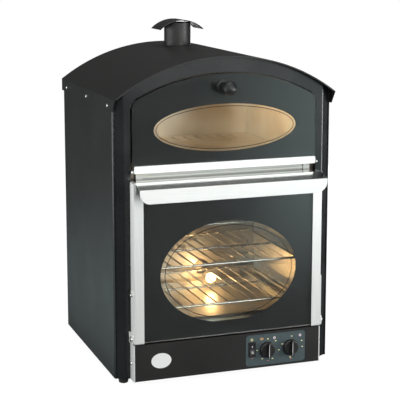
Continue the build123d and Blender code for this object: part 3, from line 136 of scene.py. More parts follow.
def turned(profile, centre, axis, steps=64):
    """A profile of (along, radius) pairs carried round an axis, 0 to 2 for X to Z."""
    profile = np.array(profile, float)
    turn = np.linspace(0, 2 * np.pi, steps, endpoint=False)
    rings = np.zeros((len(profile), steps, 3))
    rings[..., axis] = profile[:, :1]
    rings[..., (axis + 1) % 3] = profile[:, 1:] * np.cos(turn)
    rings[..., (axis + 2) % 3] = profile[:, 1:] * np.sin(turn)
    return rings + np.array(centre)


def made(name, shells, material, body, sharp=38.0, stands_for=()):
    """One piece from grids of points, each closed round its columns. A grid's rows are joined
    in order; rows that shrink to a point close its ends."""
    points, faces, first = [], [], 0
    for shell in shells:
        rows, columns = shell.shape[:2]
        row, column = np.meshgrid(np.arange(rows - 1), np.arange(columns), indexing="ij")
        ahead = (column + 1) % columns
        quads = [row * columns + column, row * columns + ahead]
        quads += [(row + 1) * columns + ahead, (row + 1) * columns + column]
        faces.append(np.stack(quads, -1).reshape(-1, 4) + first)
        points.append(shell.reshape(-1, 3))
        first += rows * columns
    mesh = bpy.data.meshes.new(name)
    mesh.from_pydata(np.vstack(points).tolist(), [], np.vstack(faces).tolist())
    work = bmesh.new()
    work.from_mesh(mesh)
    bmesh.ops.remove_doubles(work, verts=work.verts, dist=1e-6)
    bmesh.ops.recalc_face_normals(work, faces=work.faces)
    work.to_mesh(mesh)
    work.free()
    mesh.shade_smooth()
    mesh.set_sharp_from_angle(angle=np.radians(sharp))
    mesh.materials.append(material)
    piece = bpy.data.objects.new(name, mesh)
    bpy.context.scene.collection.objects.link(piece)
    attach(piece, body)
    if stands_for:
        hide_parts(*stands_for)
    return piece


def give(material, *names):
    """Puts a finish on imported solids, whose shape stays as it is."""
    for name in names:
        for place in solid[name].material_slots:
            place.material = material


rubber = finish("foot_rubber", (0.018, 0.018, 0.018), 0.7)
vary(rubber, "Roughness", grain(rubber, (600, 600, 600)), 0.6, 0.82)
raise_by(rubber, grain(rubber, (1400, 1400, 1400), 2.0), 0.00012)
FOOT_RADIUS = 0.012
low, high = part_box("feet")
foot_x, foot_front, foot_back = high.x - FOOT_RADIUS, low.y + FOOT_RADIUS, high.y - FOOT_RADIUS
foot_sides = [(0.0, 0.0), (0.0, 0.0085), (0.0012, 0.0102), (0.004, 0.0108), (0.0125, 0.0119)]
foot_sides += [(0.014, 0.0119), (0.014, 0.0)]
stud_sides = [(0.0135, 0.0), (0.0135, 0.003), (0.0236, 0.003), (0.0241, 0.0024), (0.0241, 0.0)]
nut_sides = [(0.0172, 0.0), (0.0172, 0.0046), (0.0176, 0.005), (0.0206, 0.005), (0.021, 0.0046)]
nut_sides += [(0.021, 0.0)]
feet_shells = []
for x in (-foot_x, foot_x):
    for y in (foot_front, foot_back):
        feet_shells.append(turned(eased(foot_sides, 0.0015), (x, y, COUNTER), 2))
        feet_shells.append(turned(stud_sides, (x, y, COUNTER), 2, 24))
        feet_shells.append(turned(nut_sides, (x, y, COUNTER), 2, 6))
made("rubber_feet", feet_shells, rubber, "cabinet", stands_for=("feet",))

# ---- Bottom pan and back ----
# Galvanised sheet, folded and left unpainted: pale grey crystals of zinc a centimetre or two
# across, dulled by handling. Both screw to the side panels' flanges.
zinc = finish("galvanised_sheet", (0.5, 0.51, 0.51), 0.45, 0.5)
place = add(zinc, "ShaderNodeTexCoord", {})
crystals = add(zinc, "ShaderNodeTexVoronoi", {"Vector": place.outputs["Object"], "Scale": 95.0})
crystal_shade = add(zinc, "ShaderNodeSeparateColor", {"Color": crystals.outputs["Color"]})
tint(zinc, crystal_shade.outputs[0], [(0.0, (0.4, 0.41, 0.42)), (1.0, (0.58, 0.59, 0.59))])
vary(zinc, "Roughness", crystal_shade.outputs[1], 0.36, 0.52)
raise_by(zinc, grain(zinc, (420, 420, 420)), 0.00003, 0.0006)
give(zinc, "base_tray", "back_panel")

# ---- Sides and roof ----
# Steel sheet with a satin black powder coat, which has a fine orange-peel skin. The roof's
# skirts lie over the sides and are screwed to them.
BLACK_COAT = (0.0115, 0.011, 0.0105)


def powder_coat(name, fold):
    """The black coat over folds of that radius in metres."""
    coat = finish(name, BLACK_COAT, 0.42)
    vary(coat, "Roughness", grain(coat, (9, 9, 9), 4.0), 0.38, 0.47)
    raise_by(coat, grain(coat, (950, 950, 950), 2.0), 0.00005, fold)
    return coat


give(powder_coat("black_powder_coat", 0.0008), "left_side_panel", "right_side_panel", "control_panel")
give(powder_coat("roof_powder_coat", 0.0016), "roof_panel")

# ---- Flue ----
# A short pipe with a curved rain cap on two strips, in the same coat, a little duller where
# the steam has been at it.
sooted = finish("sooted_coat", (0.014, 0.0135, 0.013), 0.5)
tint(sooted, grain(sooted, (60, 60, 25)), [(0.3, (0.009, 0.009, 0.009)), (0.7, (0.02, 0.019, 0.018))])
vary(sooted, "Roughness", grain(sooted, (90, 90, 90)), 0.36, 0.52)
raise_by(sooted, grain(sooted, (950, 950, 950), 2.0), 0.00005, 0.0006)
give(sooted, "flue_pipe", "flue_cap", "cap_straps")

# ---- Front surround ----
# Two bevelled columns, an arch and a sill in one glossy enamel, with a slight blue cast.
enamel = finish("front_enamel", (0.0085, 0.0098, 0.0108), 0.27)
vary(enamel, "Roughness", grain(enamel, (14, 14, 14), 4.0), 0.22, 0.32)
raise_by(enamel, grain(enamel, (420, 420, 420), 2.0), 0.00003, 0.0012)
give(enamel, "front_frame")

# ---- Screws and bolts ----
# Bright plated screws with domed heads, and the shoulder bolts and pins of the hinges.
plated = finish("bright_plating", (0.66, 0.66, 0.64), 0.2, 1.0)
vary(plated, "Roughness", grain(plated, (700, 700, 700)), 0.13, 0.32)
raise_by(plated, grain(plated, (1500, 1500, 1500)), 0.00001, 0.0005)
give(plated, "panel_screws", "upper_hinge_pins", "arm_bolts", "pivot_bolts")

# ---- Oven chamber and display compartment ----
# Thin stainless sheet, bright from the roll, with patches of straw and brown heat tint. The fan guard is
# punched from the same sheet. The plate round the two mouths is browned all over by heat, and coloured darker
# still as painted shade, so the gaps round the doors look shaded.
liner = finish("heat_tinted_steel", (0.6, 0.56, 0.48), 0.34, 1.0)
tints = [(0.35, (0.7, 0.68, 0.63)), (0.55, (0.62, 0.57, 0.49)), (0.8, (0.42, 0.31, 0.2))]
tint(liner, grain(liner, (7, 7, 7), 2.0), tints)
vary(liner, "Roughness", grain(liner, (30, 30, 30), 2.0), 0.28, 0.44)
raise_by(liner, grain(liner, (60, 700, 60)), 0.00002, 0.0006)
give(liner, "display_wrap", "display_back", "display_deck", "oven_wrap", "oven_floor")
give(liner, "oven_back", "fan_baffle", "crumb_tray", "fan_impeller", "inner_door_pan")
# Painted shade: the face plate is coloured darker than heat browning makes it, so the gaps round both doors
# look shaded.
browned_and_shaded = finish("browned_and_shaded_steel", (0.1, 0.085, 0.07), 0.45, 1.0)
tint(browned_and_shaded, grain(browned_and_shaded, (9, 9, 9), 2.0), [(0.35, (0.12, 0.105, 0.09)), (0.7, (0.075, 0.06, 0.045))])
vary(browned_and_shaded, "Roughness", grain(browned_and_shaded, (30, 30, 30), 2.0), 0.38, 0.52)
give(browned_and_shaded, "face_plate")

# ---- Mineral wool ----
# Batts of yellow-brown wool pressed between the oven chamber and the outer sheets. Their faces
# are uneven and their edges are soft.
wool = finish("mineral_wool", (0.5, 0.42, 0.25), 0.95, Sheen_Weight=0.4, Sheen_Roughness=0.5)
fibres = grain(wool, (220, 900, 160), 8.0)
tint(wool, fibres, [(0.3, (0.34, 0.27, 0.14)), (0.7, (0.62, 0.54, 0.34))])
raise_by(wool, fibres, 0.0012)


def batt(low, high, rows=48, columns=96):
    """A batt filling a box: a sphere's points drawn out onto a cube, blended with the same points
    with each coordinate raised to a small power, whose faces rise and fall by a sum of sines."""
    polar = np.linspace(0, np.pi, rows)[:, None]
    turn = np.linspace(0, 2 * np.pi, columns, endpoint=False)[None, :]
    ball = np.stack([np.sin(polar) * np.cos(turn), np.sin(polar) * np.sin(turn),
                     np.cos(polar) * np.ones_like(turn)], -1)
    square = ball / np.abs(ball).max(-1, keepdims=True)
    soft = np.sign(ball) * np.abs(ball) ** 0.12
    shape = 0.55 * square + 0.45 * soft / np.maximum(np.abs(soft).max(-1, keepdims=True), 1e-9)
    low, high = np.array(low), np.array(high)
    half = (high - low) / 2
    spot = shape * half
    swell = np.sin(spot[..., 1] * 61 + 1.3) * np.sin(spot[..., 2] * 47) + np.sin(spot[..., 1] * 131)
    shape = shape * (0.985 + 0.005 * swell[..., None])
    return (low + high) / 2 + shape * half


BATT_THICKNESS = 0.04
side_low, side_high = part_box("side_insulation")
batts = [batt((side_high.x - BATT_THICKNESS, side_low.y, side_low.z), tuple(side_high))]
batts.append(batts[0] * np.array([-1, 1, 1]))
sides = made("wool_beside_the_oven", batts, wool, "cabinet", 60, ("side_insulation",))
top_low, top_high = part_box("top_insulation")
above = made("wool_above_the_oven", [batt(tuple(top_low), tuple(top_high))], wool, "cabinet", 60,
             ("top_insulation",))

# ---- Seals of the two mouths ----
# A braided glass-fibre rope clipped round the oven's mouth, on which the door's pan closes, and
# a flatter one up the display's sides and over its arch, parted at the catch.
rope = finish("braided_rope", (0.3, 0.28, 0.24), 0.85)
place = add(rope, "ShaderNodeTexCoord", {})
one_way = add(rope, "ShaderNodeTexWave", {"Vector": place.outputs["Object"], "Scale": 260.0},
              bands_direction="DIAGONAL")
tint(rope, one_way.outputs["Fac"], [(0.2, (0.13, 0.12, 0.1)), (0.7, (0.42, 0.4, 0.34))])
raise_by(rope, one_way.outputs["Fac"], 0.0004)


def bar(path, radius, side, steps=14, stretch=1.0):
    """A round bar: a circle of that radius, or of one radius for each point, carried along a
    path that lies square to the direction side, in which it may be stretched to an oval."""
    path = np.array(path, float)
    along = np.gradient(path, axis=0)
    if np.allclose(path[0], path[-1]):
        along[0] = along[-1] = path[1] - path[-2]
    along /= np.linalg.norm(along, axis=1, keepdims=True)
    side = np.array(side, float)
    across = np.cross(along, side)
    turn = np.linspace(0, 2 * np.pi, steps, endpoint=False)[None, :, None]
    ring = stretch * np.cos(turn) * side + np.sin(turn) * across[:, None, :]
    radius = np.broadcast_to(np.array(radius, float), (len(path),))
    return path[:, None, :] + radius[:, None, None] * ring


def loop(low, high, y, bend):
    """A closed rectangle with rounded corners in the upright plane at y."""
    middle = (low[0] + high[0]) / 2
    corners = [(middle, y, low[1]), (high[0], y, low[1]), (high[0], y, high[1]), (low[0], y, high[1]),
               (low[0], y, low[1]), (middle, y, low[1])]
    return eased(corners, bend, 7)


LINER = 0.0012
SEAL_REACH, SEAL_RADIUS = 0.006, 0.0036
plate_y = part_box("face_plate")[0].y
mouth_low, mouth_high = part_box("oven_wrap")
mouth_half = mouth_high.x - LINER + SEAL_REACH
SEAL_BEND = 0.012
ring = loop((-mouth_half, mouth_low.z - SEAL_REACH), (mouth_half, mouth_high.z - LINER + SEAL_REACH),
            plate_y - SEAL_RADIUS, SEAL_BEND)
seals = [bar(ring, SEAL_RADIUS, (0, 1, 0))]
STRIP_REACH, STRIP_RADIUS, STRIP_DEPTH = 0.005, 0.003, 0.0061
ARCH_RADIUS, CATCH_GAP, STRIP_FOOT = 0.431, 0.0225, 0.4935
display_low, display_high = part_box("display_wrap")
strip_half = display_high.x - LINER + STRIP_REACH
arch_centre = display_high.z - LINER + STRIP_REACH - ARCH_RADIUS
turn = np.arcsin(np.linspace(strip_half, CATCH_GAP, 40) / ARCH_RADIUS)
over = [(ARCH_RADIUS * np.sin(angle), plate_y - STRIP_DEPTH, arch_centre + ARCH_RADIUS * np.cos(angle))
        for angle in turn]
up = [(strip_half, plate_y - STRIP_DEPTH, z) for z in np.linspace(STRIP_FOOT, over[0][2] - 0.004, 24)]
strip = eased(up + over[1:], 0.02)
ends = np.ones(len(strip))
ends[[0, -1]] = 0.0
strip = bar(strip, STRIP_RADIUS * ends, (0, 1, 0), 14, STRIP_DEPTH / STRIP_RADIUS)
seals += [strip, strip * np.array([-1, 1, 1])]
made("seals_of_the_mouths", seals, rope, "cabinet", 60, ("door_seals",))

# ---- Racks and runners ----
# Bright plated wire: a rod frame, a cross rod, and thinner wires from front to back that are
# welded on top of the rods. The runners are plated sheet.
wire_plate = finish("plated_wire", (0.86, 0.85, 0.82), 0.16, 1.0)
vary(wire_plate, "Roughness", grain(wire_plate, (120, 120, 120)), 0.12, 0.28)
give(wire_plate, "rack_runners")
ROD, WIRE, WIRES, PITCH = 0.0026, 0.0018, 14, 0.027
DOME = np.array([(0.0, 0.0), (0.08, 0.4), (0.3, 0.72), (0.62, 0.93), (1.0, 1.0)])


def rod(start, end, radius, side=(0, 0, 1), steps=12):
    """A straight bar with rounded ends: its radius follows a quarter circle at each end."""
    start, end = np.array(start, float), np.array(end, float)
    length = np.linalg.norm(end - start)
    way = (end - start) / length
    reach = np.concatenate([DOME[:, 0] * radius, length - DOME[::-1, 0] * radius])
    sizes = np.concatenate([DOME[:, 1], DOME[::-1, 1]]) * radius
    return bar(start + reach[:, None] * way, sizes, side, steps)


for name, body in (("lower_rack", "lower_shelf"), ("middle_rack", "middle_shelf"),
                   ("upper_rack", "upper_shelf")):
    low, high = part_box(name)
    level = low.z + ROD
    half = high.x - ROD
    front, back = low.y + ROD, high.y - ROD
    corners = [(0, front, level), (half, front, level), (half, back, level), (-half, back, level),
               (-half, front, level), (0, front, level)]
    shells = [bar(eased(corners, 0.006, 7), ROD, (0, 0, 1))]
    shells.append(rod((-half, (front + back) / 2, level), (half, (front + back) / 2, level), ROD))
    top = high.z - WIRE
    for place in (np.arange(WIRES) - (WIRES - 1) / 2) * PITCH:
        shells.append(rod((place, low.y, top), (place, high.y, top), WIRE, steps=10))
    made("wires_of_" + name, shells, wire_plate, body, 60, (name,))

# ---- Fan, motor and heater ----
# The motor has a cast can; the element is a sheathed ring, blued and browned by heat, whose
# ends turn back through the oven's rear wall.
cast = finish("cast_can", (0.5, 0.51, 0.52), 0.5, 0.9)
vary(cast, "Roughness", grain(cast, (200, 200, 200)), 0.42, 0.62)
raise_by(cast, grain(cast, (500, 500, 500), 4.0), 0.00015, 0.0008)
give(cast, "fan_motor")
sheath = finish("scaled_sheath", (0.12, 0.1, 0.09), 0.5, 0.8)
scale_tints = [(0.3, (0.07, 0.06, 0.06)), (0.55, (0.19, 0.13, 0.09)), (0.75, (0.12, 0.12, 0.15))]
tint(sheath, grain(sheath, (45, 45, 45), 5.0), scale_tints)
raise_by(sheath, grain(sheath, (900, 900, 900)), 0.00005)
low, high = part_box("heating_element")
HEATER_ROD, LEG_X = 0.004, 0.014
ring_radius = (high.x - low.x) / 2 - HEATER_ROD
ring_y, ring_z = low.y + HEATER_ROD, high.z - HEATER_ROD - ring_radius
gap = np.arcsin(LEG_X / ring_radius)
turn = np.linspace(gap, 2 * np.pi - gap, 97)
round_fan = np.stack([-ring_radius * np.sin(turn), np.full_like(turn, ring_y),
                      ring_z - ring_radius * np.cos(turn)], -1)
leg_z = round_fan[0, 2]
legs = [rod((x, ring_y, leg_z), (x, high.y, leg_z), HEATER_ROD) for x in (-LEG_X, LEG_X)]
heater = made("ring_heater", [bar(round_fan, HEATER_ROD, (0, 1, 0), 20)] + legs, sheath, "cabinet", 60,
              ("heating_element",))

# ---- Lamps ----
# Small capsule lamps in white ceramic holders, one beside the display and one behind the fan
# guard. Both are lit, and warm the inside with yellow light.
ceramic = finish("white_ceramic", (0.8, 0.79, 0.75), 0.25)
vary(ceramic, "Roughness", grain(ceramic, (150, 150, 150)), 0.2, 0.35)
give(ceramic, "lamp_holders")
LAMP_YELLOW = (1.0, 0.6, 0.26)
lit = finish("lit_capsule", (1.0, 0.8, 0.5), 0.15, Emission_Strength=0.8)
lit.node_tree.nodes["Principled BSDF"].inputs["Emission Color"].default_value = (*LAMP_YELLOW, 1.0)
low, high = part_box("lamp_bulbs")
CAPSULE, NECK = 0.011, 0.0108
HOLDER_DEPTH, DISPLAY_LENGTH, OVEN_LENGTH = 0.016, 0.021, 0.025
dome = [(0.0, 0.0), (0.0005, 0.004), (0.003, 0.0078), (0.008, 0.0105), (0.013, CAPSULE)]
display_y, display_z = low.y + CAPSULE, high.z - CAPSULE
display_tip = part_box("lamp_holders")[0].x + HOLDER_DEPTH + DISPLAY_LENGTH
bulbs = [turned([(display_tip - along, radius) for along, radius in dome + [(DISPLAY_LENGTH, NECK)]],
                (0, display_y, display_z), 0, 32)]
oven_lamp = (high.x - CAPSULE, high.y - OVEN_LENGTH, low.z + CAPSULE)
bulbs.append(turned(dome + [(OVEN_LENGTH, NECK)], oven_lamp, 1, 32))
made("capsule_lamps", bulbs, lit, "cabinet", 60, ("lamp_bulbs",))

# ---- Stainless trim ----
# Folded stainless steel, brushed along its length: the lintel with the upper hinge's lugs, the
# upper door's rail, the oven door's channels, arms and handle, and the control box's cheeks.
# Painted highlight: the steel's colour is paler than bare stainless, so the trim shows white, as where it
# mirrors the lamps.
STEEL_PAINTED_BRIGHT = (0.95, 0.97, 0.95)


def brushed(name, along, rubbed=1.0, colour=STEEL_PAINTED_BRIGHT, metal=1.0):
    """Brushed steel whose fine scratches run along axis 0 or 2; they change its roughness, its brightness
    and, very slightly, its relief, and spread what it mirrors across them. What faces up is rubbed smoother
    by that factor. Less metal gives a paler, whiter look, which is a painted highlight."""
    steel = finish(name, colour, 0.4, metal, Anisotropic=0.75)
    scale = [2600.0, 2600.0, 2600.0]
    scale[along] = 14.0
    scratches = grain(steel, tuple(scale), 2.0)
    worn = tuple(0.86 * part for part in colour)
    tint(steel, scratches, [(0.3, worn), (0.7, colour)])
    facing = add(steel, "ShaderNodeNewGeometry", {})
    upward = add(steel, "ShaderNodeSeparateXYZ", {"Vector": facing.outputs["Normal"]})
    worn_top = ranged(steel, upward.outputs["Z"], 0.5, 0.9, 1.0, rubbed)
    coarse = ranged(steel, scratches, 0.3, 0.7, 0.36, 0.5)
    blunt = add(steel, "ShaderNodeMath", {0: coarse.outputs[0], 1: worn_top.outputs[0]}, operation="MULTIPLY")
    shader = steel.node_tree.nodes["Principled BSDF"]
    steel.node_tree.links.new(blunt.outputs[0], shader.inputs["Roughness"])
    raise_by(steel, scratches, 0.000012, 0.0007)
    spread = add(steel, "ShaderNodeTangent", {}, direction_type="RADIAL", axis="Z" if along == 2 else "X")
    steel.node_tree.links.new(spread.outputs[0], shader.inputs["Tangent"])
    return steel


# Painted highlight: the uprights get less metal, so their pale colour shows as a white, lit look.
upright_steel_painted_bright = brushed("steel_brushed_upright", 2, metal=0.4)
give(brushed("steel_brushed_across", 0), "upper_door_rail")
# Painted shade: the lintel is the same brushed stainless as the rail, coloured much darker so that it looks
# shaded.
give(brushed("lintel_steel_painted_shade", 0, colour=(0.38, 0.395, 0.375)), "lintel")
give(brushed("handle_steel", 0, 0.2), "door_handle")
give(upright_steel_painted_bright, "left_door_channel", "right_door_channel")
give(upright_steel_painted_bright, "hinge_arms", "hinge_brackets", "control_cheeks")

# ---- Door panes ----
# Toughened clear glass with a faint green cast. Behind it a black ceramic print leaves an oval
# window, with a fine black line inside the window's edge.
pane = finish("toughened_pane", (0.94, 0.97, 0.96), 0.0, Transmission_Weight=1.0, IOR=1.48)
give(pane, "upper_glass", "lower_glass", "inner_glass")
ink = finish("black_ceramic_print", (0.005, 0.0065, 0.0062), 0.5)
tint(ink, grain(ink, (120, 120, 120)), [(0.3, (0.0045, 0.006, 0.0058)), (0.7, (0.0055, 0.007, 0.0067))])
give(ink, "upper_glass_print", "lower_glass_print")

# ---- Display door's knob ----
# A glossy black ball on a short neck and a round base, turned in one piece and screwed through
# the pane.
gloss = finish("black_phenolic", (0.012, 0.012, 0.0125), 0.3)
vary(gloss, "Roughness", grain(gloss, (80, 80, 80)), 0.36, 0.46)
raise_by(gloss, grain(gloss, (1200, 1200, 1200)), 0.00001, 0.0004)
low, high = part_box("upper_knob")
ball = (high.x - low.x) / 2
knob_at = ((low.x + high.x) / 2, low.y, (low.z + high.z) / 2)
arc = np.linspace(0, np.radians(142), 30)
ball_line = np.stack([ball - ball * np.cos(arc), ball * np.sin(arc)], -1)
neck = [(0.0310, 0.0088), (0.0400, 0.0096), (0.0505, 0.0112), (0.0518, 0.0150), (0.0522, 0.0160)]
neck += [(0.0560, 0.0160), (0.0570, 0.0156), (0.0570, 0.0)]
fixing = [(0.056, 0.0), (0.056, 0.003), (0.0614, 0.003), (0.0614, 0.0065), (0.0636, 0.0065), (0.064, 0.0)]
knob_shells = [turned(np.vstack([ball_line, neck]), knob_at, 1), turned(fixing, knob_at, 1, 24)]
knob = made("ball_knob", knob_shells, gloss, "upper_door", 40, ("upper_knob",))

# ---- Catches, dial bodies and gland ----
# Matt black mouldings.
matt = finish("matt_black_moulding", (0.02, 0.02, 0.021), 0.55)
vary(matt, "Roughness", grain(matt, (300, 300, 300)), 0.48, 0.64)
raise_by(matt, grain(matt, (1600, 1600, 1600)), 0.00006, 0.0005)
give(matt, "door_catches", "dial_bodies", "cable_gland")

# ---- Scale plate and badge ----
# A slate-grey printed film on a thin plate, and a blank white oval of stoved enamel.
film = finish("slate_film", (0.053, 0.078, 0.084), 0.4)
speckle = grain(film, (900, 900, 900), 2.0)
tint(film, speckle, [(0.35, (0.04, 0.061, 0.067)), (0.65, (0.069, 0.095, 0.1))])
vary(film, "Roughness", speckle, 0.34, 0.48)
give(film, "label_plate")
white = finish("white_stoving", (0.82, 0.83, 0.82), 0.2, Coat_Weight=0.5)
vary(white, "Roughness", grain(white, (60, 60, 60)), 0.16, 0.28)
give(white, "badge")


INK = 0.00008
DOT = (0.0001, 0.0001)


def flat_ring(centre, outer, inner=DOT, slope=0.0):
    """A printed oval ring facing the front, or nearly a full oval where the inner half-sizes are
    a dot's. Its depth follows the slope with height."""
    turn = np.linspace(0, 2 * np.pi, 28, endpoint=False)
    rings = np.zeros((4, len(turn), 3))
    for row, (radius, depth) in enumerate(((inner, 0), (outer, 0), (outer, INK), (inner, INK))):
        rings[row, :, 0] = centre[0] + radius[0] * np.cos(turn)
        rings[row, :, 2] = centre[2] + radius[1] * np.sin(turn)
        rings[row, :, 1] = centre[1] - depth + slope * radius[1] * np.sin(turn)
    return np.concatenate([rings, rings[:1]])


def marks(name, colour_name, colour, rings):
    """Rings of one colour printed on the scale plate."""
    print_ink = finish(colour_name, colour, 0.5)
    made(name, rings, print_ink, "cabinet", 60)


plate_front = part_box("label_plate")[0].y
TICK = (0.0021, 0.0011)
TICKS = [(93.6, 79.9), (112.6, 73.2), (67.5, 55.4), (80.0, 34.5), (120.7, 50.9), (105.2, 32.5)]
TICKS += [(152.4, 80.1), (128.7, 64.0), (176.8, 67.2), (178.5, 52.9), (148.7, 31.0)]
ticks = [flat_ring((x / 1000, plate_front, z / 1000), TICK) for x, z in TICKS]
LIGHT_LINE = 0.0007
for radius in (0.0031, 0.0016):
    inside = radius - LIGHT_LINE
    ticks.append(flat_ring((0.0544, plate_front, 0.0812), (radius, radius), (inside, inside)))
marks("yellow_ticks", "yellow_marks", (0.88, 0.82, 0.4), ticks)
heat = [flat_ring((0.0787, plate_front, 0.0812), (0.0042, 0.0026), (0.0026, 0.0013))]
marks("heat_mark", "orange_mark", (0.72, 0.4, 0.16), heat)
rounds = [flat_ring((x, plate_front, 0.0808), (0.003, 0.003), (0.0015, 0.0015)) for x in (0.1095, 0.1728)]
marks("round_marks", "pink_marks", (0.85, 0.7, 0.76), rounds)
LOWEST = [(0.0555, 0.0385), (0.0942, 0.0287), (0.1508, 0.0275)]
lowest = [flat_ring((x, plate_front, z), (0.0024, 0.001)) for x, z in LOWEST]
marks("low_marks", "red_marks", (0.45, 0.16, 0.16), lowest)

# ---- Switch ----
# Black rocker in a black bezel, with a white bar and ring moulded in its two faces.
give(gloss, "switch_housing", "power_rocker")
low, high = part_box("power_rocker")
rocker_axis = (low.x + high.x) / 2, plate_front + 0.0015, 0.0585
bar_mark = flat_ring((rocker_axis[0], rocker_axis[1] - 0.00335, rocker_axis[2] + 0.0069),
                     (0.0007, 0.0026), slope=-0.015)
ring_mark = flat_ring((rocker_axis[0], rocker_axis[1] - 0.0047, rocker_axis[2] - 0.0061),
                      (0.0021, 0.0024), (0.0013, 0.0016), slope=0.228)
made("rocker_marks", [bar_mark, ring_mark], white, "rocker", 60)

# ---- Dials ----
# Black phenolic dials with a raised grip across them and a bright ring round the foot. A white
# line on the grip points to the scale.
REACH, GRIP, GRIP_HALF = 0.020, 0.0055, 0.0182
bright_ring = finish("bright_ring", (0.6, 0.61, 0.62), 0.25, 1.0)
vary(bright_ring, "Roughness", grain(bright_ring, (400, 400, 400)), 0.2, 0.34)
for name, body in (("thermostat_knob", "thermostat"), ("timer_knob", "timer")):
    low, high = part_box(name)
    x, z = (low.x + high.x) / 2, (low.z + high.z) / 2
    foot_y = low.y + REACH
    skirt = [(0.0, 0.0), (0.0, 0.0186), (-0.0016, 0.0190), (-0.0070, 0.0180), (-0.0086, 0.0168)]
    skirt += [(-0.0092, 0.0150), (-0.0088, 0.0)]
    shells = [turned(eased(skirt, 0.0012), (x, foot_y, z), 1)]
    shaft = [(-0.001, 0.0), (-0.001, 0.003), (high.y - foot_y, 0.003), (high.y - foot_y, 0.0)]
    shells.append(turned(shaft, (x, foot_y, z), 1, 24))
    turn = np.linspace(0, 2 * np.pi, 48, endpoint=False)
    flat = np.sign(np.cos(turn)) * np.abs(np.cos(turn)) ** 0.35
    tall = np.sign(np.sin(turn)) * np.abs(np.sin(turn)) ** 0.7
    rise = eased([(-0.006, 1.0), (-0.0185, 0.97), (-REACH, 0.8), (-REACH, 0.0)], 0.001)
    grip = np.zeros((len(rise), len(turn), 3))
    grip[..., 0] = x + GRIP / 2 * flat * rise[:, 1:]
    grip[..., 1] = foot_y + rise[:, :1]
    grip[..., 2] = z + GRIP_HALF * tall * rise[:, 1:]
    shells.append(grip)
    made(name + "_dial", shells, gloss, body, 40, (name,))
    band = [(-0.0004, 0.0186), (-0.0002, 0.01895), (-0.0012, 0.01905), (-0.0022, 0.0189), (-0.0022, 0.0184)]
    made(name + "_ring", [turned(band, (x, foot_y, z), 1)], bright_ring, body)
    pointer = flat_ring((x - 0.0017, foot_y - REACH, z), (0.0005, 0.0165))
    made(name + "_pointer", [pointer], white, body)

# ---- Studio ----
# A plain pale floor, soft lamps and the camera. None of this belongs to the oven.
# The floor shines white to the camera alone and keeps the soft shadow. What the oven mirrors of
# it is bright to the front right and to the back left, as by windows, and slightly cool.
FLOOR_WHITE = 0.95
paper = finish("studio_floor", (0.09, 0.09, 0.09), 0.9)
paper.cycles.emission_sampling = "NONE"


def reckon(operation, *values):
    """A sum or product of numbers and outputs in the floor's shader."""
    return add(paper, "ShaderNodeMath", dict(enumerate(values)), operation=operation).outputs[0]


def between(value, *ends, **settings):
    """Maps a value onto another range in the floor's shader."""
    return ranged(paper, value, *ends, **settings).outputs[0]


seen = add(paper, "ShaderNodeLightPath", {})
mirrored = seen.outputs["Is Glossy Ray"]
whitened = reckon("MULTIPLY", seen.outputs["Is Camera Ray"], FLOOR_WHITE)
place = add(paper, "ShaderNodeTexCoord", {})
across = add(paper, "ShaderNodeSeparateXYZ", {"Vector": place.outputs["Object"]})
floor_x, floor_y = across.outputs["X"], across.outputs["Y"]
bearing = reckon("DIVIDE", floor_x, reckon("MULTIPLY", floor_y, -1.0))
to_the_right = between(bearing, 0.3, 0.54, 0.0, 0.85, interpolation_type="SMOOTHSTEP")
ahead = between(floor_y, -0.7, -2.0, 0.0, 1.0)
front_right = reckon("MULTIPLY", to_the_right, ahead)
aside = between(floor_x, -0.2, -0.5, 0.0, 0.55)
behind = between(floor_y, 0.3, 1.9, 1.0, 0.05)
beside = between(floor_y, -0.6, 0.0, 0.0, 1.0)
windows = reckon("MULTIPLY_ADD", reckon("MULTIPLY", aside, behind), beside, front_right)
strength = reckon("MULTIPLY_ADD", mirrored, windows, whitened)
red_part = reckon("MULTIPLY_ADD", mirrored, -0.26, 1.0)
cool = add(paper, "ShaderNodeCombineColor", {"Red": red_part, "Green": 1.0, "Blue": 1.0})
shader = paper.node_tree.nodes["Principled BSDF"]
paper.node_tree.links.new(cool.outputs[0], shader.inputs["Emission Color"])
paper.node_tree.links.new(strength, shader.inputs["Emission Strength"])
mesh = bpy.data.meshes.new("studio_floor")
mesh.from_pydata([(-9, -9, 0), (9, -9, 0), (9, 30, 0), (-9, 30, 0)], [], [(0, 1, 2, 3)])
mesh.materials.append(paper)
floor = bpy.data.objects.new("studio_floor", mesh)
bpy.context.scene.collection.objects.link(floor)

world = bpy.data.worlds.new("studio")
bpy.context.scene.world = world
world.use_nodes = True
sky = world.node_tree.nodes["Background"]
seen = add(world, "ShaderNodeLightPath", {})
toward = add(world, "ShaderNodeTexCoord", {})
parts = add(world, "ShaderNodeSeparateXYZ", {"Vector": toward.outputs["Generated"]})
in_front = ranged(world, parts.outputs["Y"], -0.5, 0.4, 1.1, 0.1)
not_right = ranged(world, parts.outputs["X"], 0.35, 0.9, 1.0, 0.2)
lit = add(world, "ShaderNodeMath", {0: in_front.outputs[0], 1: not_right.outputs[0]}, operation="MULTIPLY")
shown = ranged(world, seen.outputs["Is Camera Ray"], 0.0, 1.0, lit.outputs[0], 1.0)
world.node_tree.links.new(shown.outputs[0], sky.inputs["Strength"])
sky.inputs["Color"].default_value = (1, 1, 1, 1)


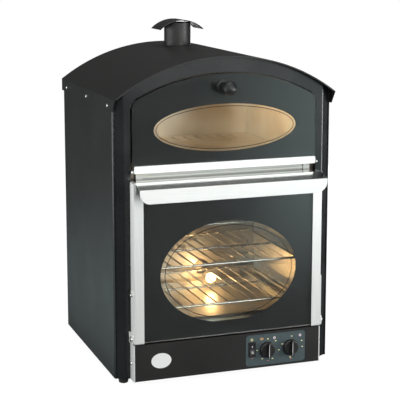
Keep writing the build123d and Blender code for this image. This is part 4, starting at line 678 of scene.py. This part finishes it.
def lamp(name, place, aim, size, watts):
    """A soft oblong lamp at a place, facing a point."""
    light = bpy.data.lights.new(name, "AREA")
    light.shape = "RECTANGLE"
    light.size, light.size_y = size
    light.energy = watts
    holder = bpy.data.objects.new(name, light)
    bpy.context.scene.collection.objects.link(holder)
    holder.location = place
    way = np.array(aim, float) - np.array(place, float)
    flat = np.hypot(way[0], way[1])
    holder.rotation_euler = (np.pi / 2 - np.arctan2(-way[2], flat), 0, np.arctan2(-way[0], way[1]))


lamp("left_wall", (-1.9, 0.15, 0.36), (0, 0.15, 0.3), (2.2, 0.7), 16)
lamp("right_front_lamp", (0.85, -3.0, 1.25), (0, 0, 0.4), (1.7, 1.2), 22)
lamp("low_right_lamp", (1.9, -1.45, 0.3), (0, -0.2, 0.3), (0.8, 0.5), 24)
lamp("top_lamp", (0.1, 0.2, 2.3), (0, 0, 0.4), (1.6, 1.6), 9)
lamp("back_lamp", (1.1, 2.4, 0.32), (0, 0.2, 0.32), (1.4, 0.5), 16)


def glow(name, place, watts, colour=LAMP_YELLOW):
    """The light that a lit capsule throws into its compartment."""
    light = bpy.data.lights.new(name, "POINT")
    light.energy = watts
    light.color = colour
    light.shadow_soft_size = 0.012
    holder = bpy.data.objects.new(name, light)
    bpy.context.scene.collection.objects.link(holder)
    holder.location = place


glow("display_glow", (-0.19, display_y, display_z), 4.4, (1.0, 0.78, 0.52))
glow("oven_glow", (oven_lamp[0], oven_lamp[1] - 0.08, oven_lamp[2] - 0.012), 0.8)

SENSOR, FRAME, FOCAL = 36.0, 400.0, 1261.0
camera = bpy.data.cameras.new("camera")
camera.sensor_width = SENSOR
camera.lens = FOCAL / FRAME * SENSOR
camera.shift_y = -0.10
camera.clip_end = 50.0
viewer = bpy.data.objects.new("camera", camera)
bpy.context.scene.collection.objects.link(viewer)
viewer.location = (-0.9709, -2.75525, 0.9565)
viewer.rotation_euler = (np.radians(90 - 9.66), 0, np.radians(-19.60))
bpy.context.scene.camera = viewer
bpy.context.scene.view_settings.view_transform = "Standard"
